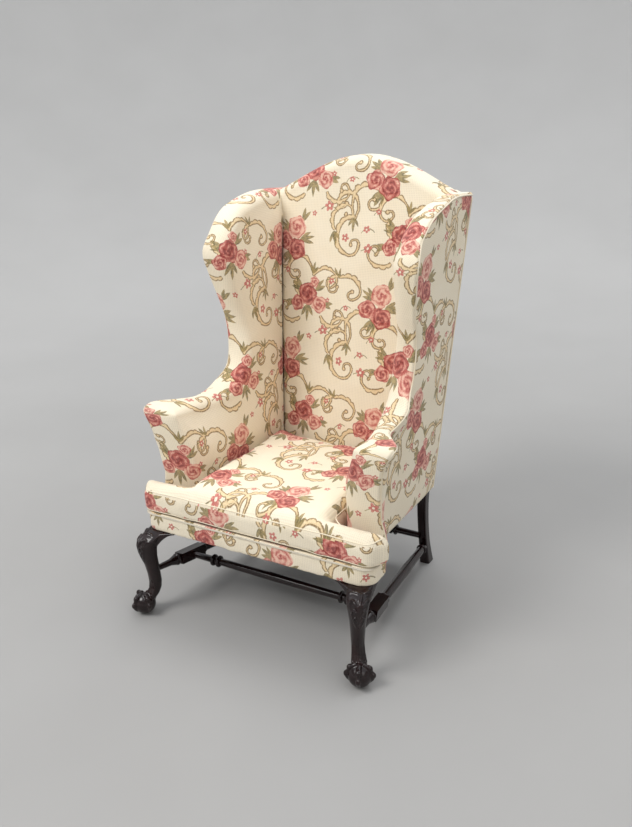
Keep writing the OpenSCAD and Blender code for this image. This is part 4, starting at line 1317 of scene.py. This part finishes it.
def printed_cloth():
    """Cream ribbed cloth printed with rose bunches, leaves and curling scrolls."""
    m, t, bsdf = new_material("printed_cloth")
    mo = Motifs(t)
    uv = t.nodes.new("ShaderNodeUVMap")
    uv.uv_map = "cloth"
    bend = add_noise(t, 26, 1.0, uv.outputs[0], out="Color")
    rough_edge = add_noise(t, 260, 2.0, uv.outputs[0], out="Color")

    def moved(base, noise_out, amount):
        centred = mo.vec("SUBTRACT", noise_out, (0.5, 0.5))
        scaled = t.nodes.new("ShaderNodeVectorMath")
        scaled.operation = "SCALE"
        scaled.inputs["Scale"].default_value = amount
        t.links.new(centred, scaled.inputs[0])
        return mo.vec("ADD", base, scaled.outputs[0])

    p = moved(uv.outputs[0], bend, 0.010)
    p = moved(p, rough_edge, 0.0019)
    split = t.nodes.new("ShaderNodeSeparateXYZ")
    t.links.new(p, split.inputs[0])
    u, v = mo.value(split.outputs[0]), mo.value(split.outputs[1])
    straight = t.nodes.new("ShaderNodeSeparateXYZ")
    t.links.new(uv.outputs[0], straight.inputs[0])
    u0, v0 = mo.value(straight.outputs[0]), mo.value(straight.outputs[1])
    coarse = mo.value(add_noise(t, 70, 2, uv.outputs[0]))
    fine = mo.value(add_noise(t, 230, 2, uv.outputs[0], 0.6))

    pa, pb = wrapped(mo, u, v, 0.02, 0.02), wrapped(mo, u, v, 0.150, -0.085)
    groups = ((pa, SCROLLS_A, STEMS_A, LEAVES_A, ROSES_A, FLOWERS_A),
              (pb, SCROLLS_B, STEMS_B, LEAVES_B, ROSES_B, FLOWERS_B))
    stroke = leaf = veins = None
    for q, scrolls, stems, leaf_list, _, _ in groups:
        for arcs, (ex, ey, er) in scrolls:
            for x, y, r, mid, half, w, lobes, lobe in arcs:
                stroke = nearer(stroke, mo.arc(q, (x / 1000, y / 1000), r / 1000, mid, half, w / 1000,
                                               lobes, lobe / 1000))
            stroke = nearer(stroke, mo.dot(q, (ex / 1000, ey / 1000), er / 1000))
        for x, y, r, mid, half, w in stems:
            leaf = nearer(leaf, mo.arc(q, (x / 1000, y / 1000), r / 1000, mid, half, w / 1000))
        for x, y, turn, length, w in leaf_list:
            s, vein = mo.leaf(q, (x / 1000, y / 1000), turn, length / 1000, w / 1000)
            leaf, veins = nearer(leaf, s), nearer(veins, vein)

    ground = mix(t, add_noise(t, 14, 3, uv.outputs[0]), CREAM_DEEP, CREAM)
    body = band(stroke, 0.0006, -0.0006)
    line = band(f_abs(stroke + 0.0004), 0.0024, 0.0010)
    inner = f_abs(f_sin(stroke * 900)) * 0.35 + fine * 0.65
    tan = mix(t, inner.socket, TAN, CREAM)
    tan = mix(t, (fine * 0.8).socket, tan, TAN)
    col = mix(t, (body * 0.9).socket, ground, tan)
    col = mix(t, (line * band(fine, 0.20, 0.55) * 0.88).socket, col, OLIVE_BROWN)
    leaf_mask = band(leaf, 0.0007, -0.0007)
    vein = band(veins, 0.0012, 0.0004)
    leaf_col = mix(t, band(coarse * 0.6 + fine * 0.5, 0.42, 0.68).socket, LEAF_DARK, LEAF_LIGHT)
    leaf_col = mix(t, (vein * 0.5).socket, leaf_col, LEAF_LIGHT)
    col = mix(t, (leaf_mask * 0.88).socket, col, leaf_col)

    def rose_colour(tone):
        return colour_ramp(t, tone.socket, [(0.12, ROSE_DARK), (0.42, ROSE_MID), (0.68, ROSE_LIGHT),
                                            (0.92, ROSE_PALE)])
    for q, _, _, _, rose_list, flower_list in groups:
        for x, y, r, phase, light in rose_list:
            s, tone = mo.rose(q, (x / 1000, y / 1000), r / 1000, phase, coarse, fine)
            rim = band(f_abs(s + 0.0012), 0.0020, 0.0008) * 0.16
            petals = rose_colour(tone + light - rim)
            col = mix(t, (band(s, 0.0008, -0.0008) * 0.93).socket, col, petals)
        for x, y, size, phase in flower_list:
            r = size / 1000
            s, d = mo.flower(q, (x / 1000, y / 1000), r, phase)
            petals = rose_colour(fine * 0.8 + d * (0.25 / r) - 0.02)
            petals = mix(t, band(d, 0.30 * r, 0.20 * r).socket, petals, CREAM)
            col = mix(t, (band(s, 0.0007, -0.0007) * 0.92).socket, col, petals)

    # the weave: upright ribs crossed by finer weft threads, with slubs
    rib = f_abs(f_sin((u0 + (coarse - 0.5) * 0.0006) * (math.pi / RIB)))
    weft = f_abs(f_sin((v0 + (fine - 0.5) * 0.0008) * (math.pi / WEFT)))
    slub = mo.value(add_noise(t, 1.0, 3, mapped(t, uv.outputs[0], (420, 90, 1))))
    weave = rib * 0.48 + weft * 0.36 + slub * 0.30
    shade = band(weave, 0.08, 0.72) * 0.24 + 0.80
    dark = t.nodes.new("ShaderNodeMix")
    dark.data_type = "RGBA"
    dark.blend_type = "MULTIPLY"
    dark.inputs[0].default_value = 1.0
    t.links.new(col, dark.inputs[6])
    grey = t.nodes.new("ShaderNodeCombineColor")
    for k in range(3):
        t.links.new(shade.socket, grey.inputs[k])
    t.links.new(grey.outputs[0], dark.inputs[7])
    t.links.new(dark.outputs[2], bsdf.inputs["Base Color"])
    set_inputs(bsdf, Roughness=0.88, Specular_IOR_Level=0.25, Sheen_Weight=0.18, Sheen_Roughness=0.45)
    bump(t, bsdf, weave.socket, 0.0011, 0.75)
    return m


def piping_cloth():
    """The same cloth cut narrow for welts and seams: cream with scraps of print."""
    m, t, bsdf = new_material("printed_cloth_welt")
    v = object_coords(t)
    col = colour_ramp(t, add_noise(t, 9, 2, v), [(0.35, CREAM_DEEP), (0.55, CREAM), (0.68, CREAM),
                                                (0.76, ROSE_PALE)])
    fleck = add_noise(t, 300, 2, v)
    t.links.new(mix(t, fleck, col, CREAM_DEEP), bsdf.inputs["Base Color"])
    set_inputs(bsdf, Roughness=0.9, Sheen_Weight=0.15)
    bump(t, bsdf, fleck, 0.0008, 0.7)
    return m


# ---------------------------------------------------------------- build
def paint(obj, material):
    obj.data.materials.clear()
    obj.data.materials.append(material)
    return obj


CLOTH = printed_cloth()
PIPING = piping_cloth()
WOOD = polished_wood()
BEECH = beech_wood()
WADDING = woven("wadding", 0.006, (0.72, 0.69, 0.62), (0.80, 0.77, 0.70), 0.95, 0.0012, 0.4)
JUTE = woven("jute", 0.004, (0.40, 0.29, 0.16), (0.52, 0.39, 0.24), 0.9, 0.0010)
CALICO = woven("calico", 0.0016, (0.70, 0.63, 0.50), (0.78, 0.72, 0.60), 0.9, 0.0004)
CAMBRIC = woven("black_cambric", 0.0014, (0.018, 0.018, 0.019), (0.030, 0.030, 0.031), 0.85, 0.0003)
STEEL = metal("steel", (0.42, 0.43, 0.45), 0.35)
BRASS = metal("zip", (0.55, 0.41, 0.18), 0.32)
SLOTS = {"dark_mahogany": WOOD, "beech_frame": BEECH, "printed_cloth": CLOTH, "wadding": WADDING,
         "jute": JUTE, "calico": CALICO, "black_cambric": CAMBRIC, "steel": STEEL, "zip": BRASS}

for part in frame["record"]["subparts"]:
    shown = frame["nodes"][part["node"]]
    shown.data.materials.clear()
    shown.data.materials.append(SLOTS[part["material_slot"]])

back = paint(inside_back(), CLOTH)
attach(back, BODY)
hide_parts("inside_back_cover", "back_stuffing")
rear = paint(outside_back(), CLOTH)
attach(rear, BODY)
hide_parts("outside_back_cover", "outside_back_wadding")
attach(paint(back_welt(), PIPING), BODY)
for hand, tag in ((LEFT, "left"), (RIGHT, "right")):
    inside = paint(side_inside(hand), CLOTH)
    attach(inside, BODY)
    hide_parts("side_stuffing_" + tag, "inside_wing_cover_" + tag, "edge_roll_" + tag,
                "arm_facing_" + tag)
    outside = paint(outside_panel(hand), CLOTH)
    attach(outside, BODY)
    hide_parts("outside_wing_cover_" + tag)
    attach(paint(side_welt(hand), PIPING), BODY)
    leg = paint(front_leg(hand), WOOD)
    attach(leg, BODY)
    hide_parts("front_leg_" + tag)
    for place, toward_front in (("front", True), ("side", False)):
        ear = paint(knee_bracket(hand, toward_front), WOOD)
        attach(ear, BODY)
        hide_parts(place + "_knee_bracket_" + tag)
    rail, post = arm_frame(hand)
    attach(paint(rail, BEECH), BODY)
    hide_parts("arm_rail_" + tag)
    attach(paint(post, BEECH), BODY)
    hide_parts("arm_post_" + tag)
    leg = paint(rear_leg(hand), WOOD)
    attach(leg, BODY)
    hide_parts("rear_leg_" + tag)
band_cloth = paint(rail_band(), CLOTH)
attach(band_cloth, BODY)
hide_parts("rail_cover")
deck = paint(seat_deck(), CALICO)
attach(deck, BODY)
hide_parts("deck_cover", "deck_pad")
under, tacks, under_size = dust_cover()
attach(paint(under, CAMBRIC), BODY)
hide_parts("dust_cover")
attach(paint(tacks, STEEL), BODY)
seat = paint(seat_cushion(), CLOTH)
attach(seat, LOOSE)
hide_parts("cushion_core", "cushion_top_cover", "cushion_boxing_band", "cushion_bottom_cover")
for cord_piece in cushion_welts(seat):
    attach(paint(cord_piece, PIPING), LOOSE)


# ---------------------------------------------------------------- floor, light and camera
def studio_floor():
    """A level floor that curves up into a plain wall all round, its grey painted darker near the chair as
    shade and paler far off as light.
    """
    profile = [(0.0, 0.0), (1.0, 0.0), (2.0, 0.0), (3.0, 0.0)]
    for i in range(1, 17):
        a = math.radians(70) * i / 16
        profile.append((3.0 + 5.0 * math.sin(a), 5.0 * (1 - math.cos(a))))
    profile.append((8.4, 6.4))
    rings = [[(r * math.cos(2 * math.pi * k / 96), r * math.sin(2 * math.pi * k / 96), z) for k in range(96)]
             for r, z in profile]
    verts = [p for ring in rings for p in ring]
    obj = mesh_object("studio_floor", verts, grid_faces(len(rings), 96, wrap=True))
    m, t, bsdf = new_material("floor_painted_shade_and_light")
    spot = object_coords(t)
    away = t.nodes.new("ShaderNodeVectorMath")
    away.operation = "LENGTH"
    t.links.new(spot, away.inputs[0])
    # painted shade and light: the grey darkens towards the chair as its painted shadow, and pales towards
    # the wall as painted light
    far = band(Value(Maths(t), away.outputs["Value"]), 0.5, 4.5)
    cloud = add_noise(t, 1.5, 3, spot)
    painted_shade_grey = colour_ramp(t, cloud, [(0.3, (0.325, 0.319, 0.311)), (0.7, (0.343, 0.337, 0.329))])
    painted_light_grey = colour_ramp(t, cloud, [(0.3, (0.470, 0.463, 0.452)), (0.7, (0.492, 0.485, 0.474))])
    t.links.new(mix(t, far.socket, painted_shade_grey, painted_light_grey), bsdf.inputs["Base Color"])
    set_inputs(bsdf, Roughness=0.85, Specular_IOR_Level=0.2)
    obj.data.materials.append(m)


def soft_light(name, place, aim, size, watts, colour):
    data = bpy.data.lights.new(name, "AREA")
    data.shape = "DISK"
    data.size = size
    data.energy = watts
    data.color = colour
    lamp = link(bpy.data.objects.new(name, data))
    lamp.location = place
    lamp.rotation_euler = (Vector(aim) - Vector(place)).to_track_quat("-Z", "Y").to_euler()


def photo_camera():
    azimuth, elevation, roll = math.radians(30.7), math.radians(20.5), math.radians(-1.9)
    aim, away = Vector((0.0217, -0.0028, 0.5261)), 2.2723
    behind = Vector((math.sin(azimuth) * math.cos(elevation), -math.cos(azimuth) * math.cos(elevation),
                     math.sin(elevation)))
    right = (-behind).cross(Vector((0, 0, 1))).normalized()
    up = right.cross(-behind)
    x = math.cos(roll) * right + math.sin(roll) * up
    y = -math.sin(roll) * right + math.cos(roll) * up
    data = bpy.data.cameras.new("photo_camera")
    data.sensor_width = 36
    data.lens = 36.33
    data.clip_end = 60
    cam = link(bpy.data.objects.new("photo_camera", data))
    m = Matrix((x, y, behind)).transposed().to_4x4()
    m.translation = aim + behind * away
    cam.matrix_world = m
    bpy.context.scene.camera = cam


studio_floor()
soft_light("key_light", (-2.5, -3.7, 5.0), (0, 0, 0.5), 2.9, 215, (1.0, 0.985, 0.965))
soft_light("fill_light", (2.8, -1.6, 2.6), (0, 0, 0.5), 2.4, 16, (1.0, 0.96, 0.90))
soft_light("top_light", (0.3, 1.8, 5.4), (0, 0.6, 0.3), 3.0, 105, (0.97, 0.985, 1.0))
world = bpy.data.worlds.new("soft_room")
world.use_nodes = True
set_inputs(world.node_tree.nodes["Background"], Color=(0.93, 0.96, 1.0, 1), Strength=1.05)
bpy.context.scene.world = world
bpy.context.scene.view_settings.view_transform = "Standard"
photo_camera()
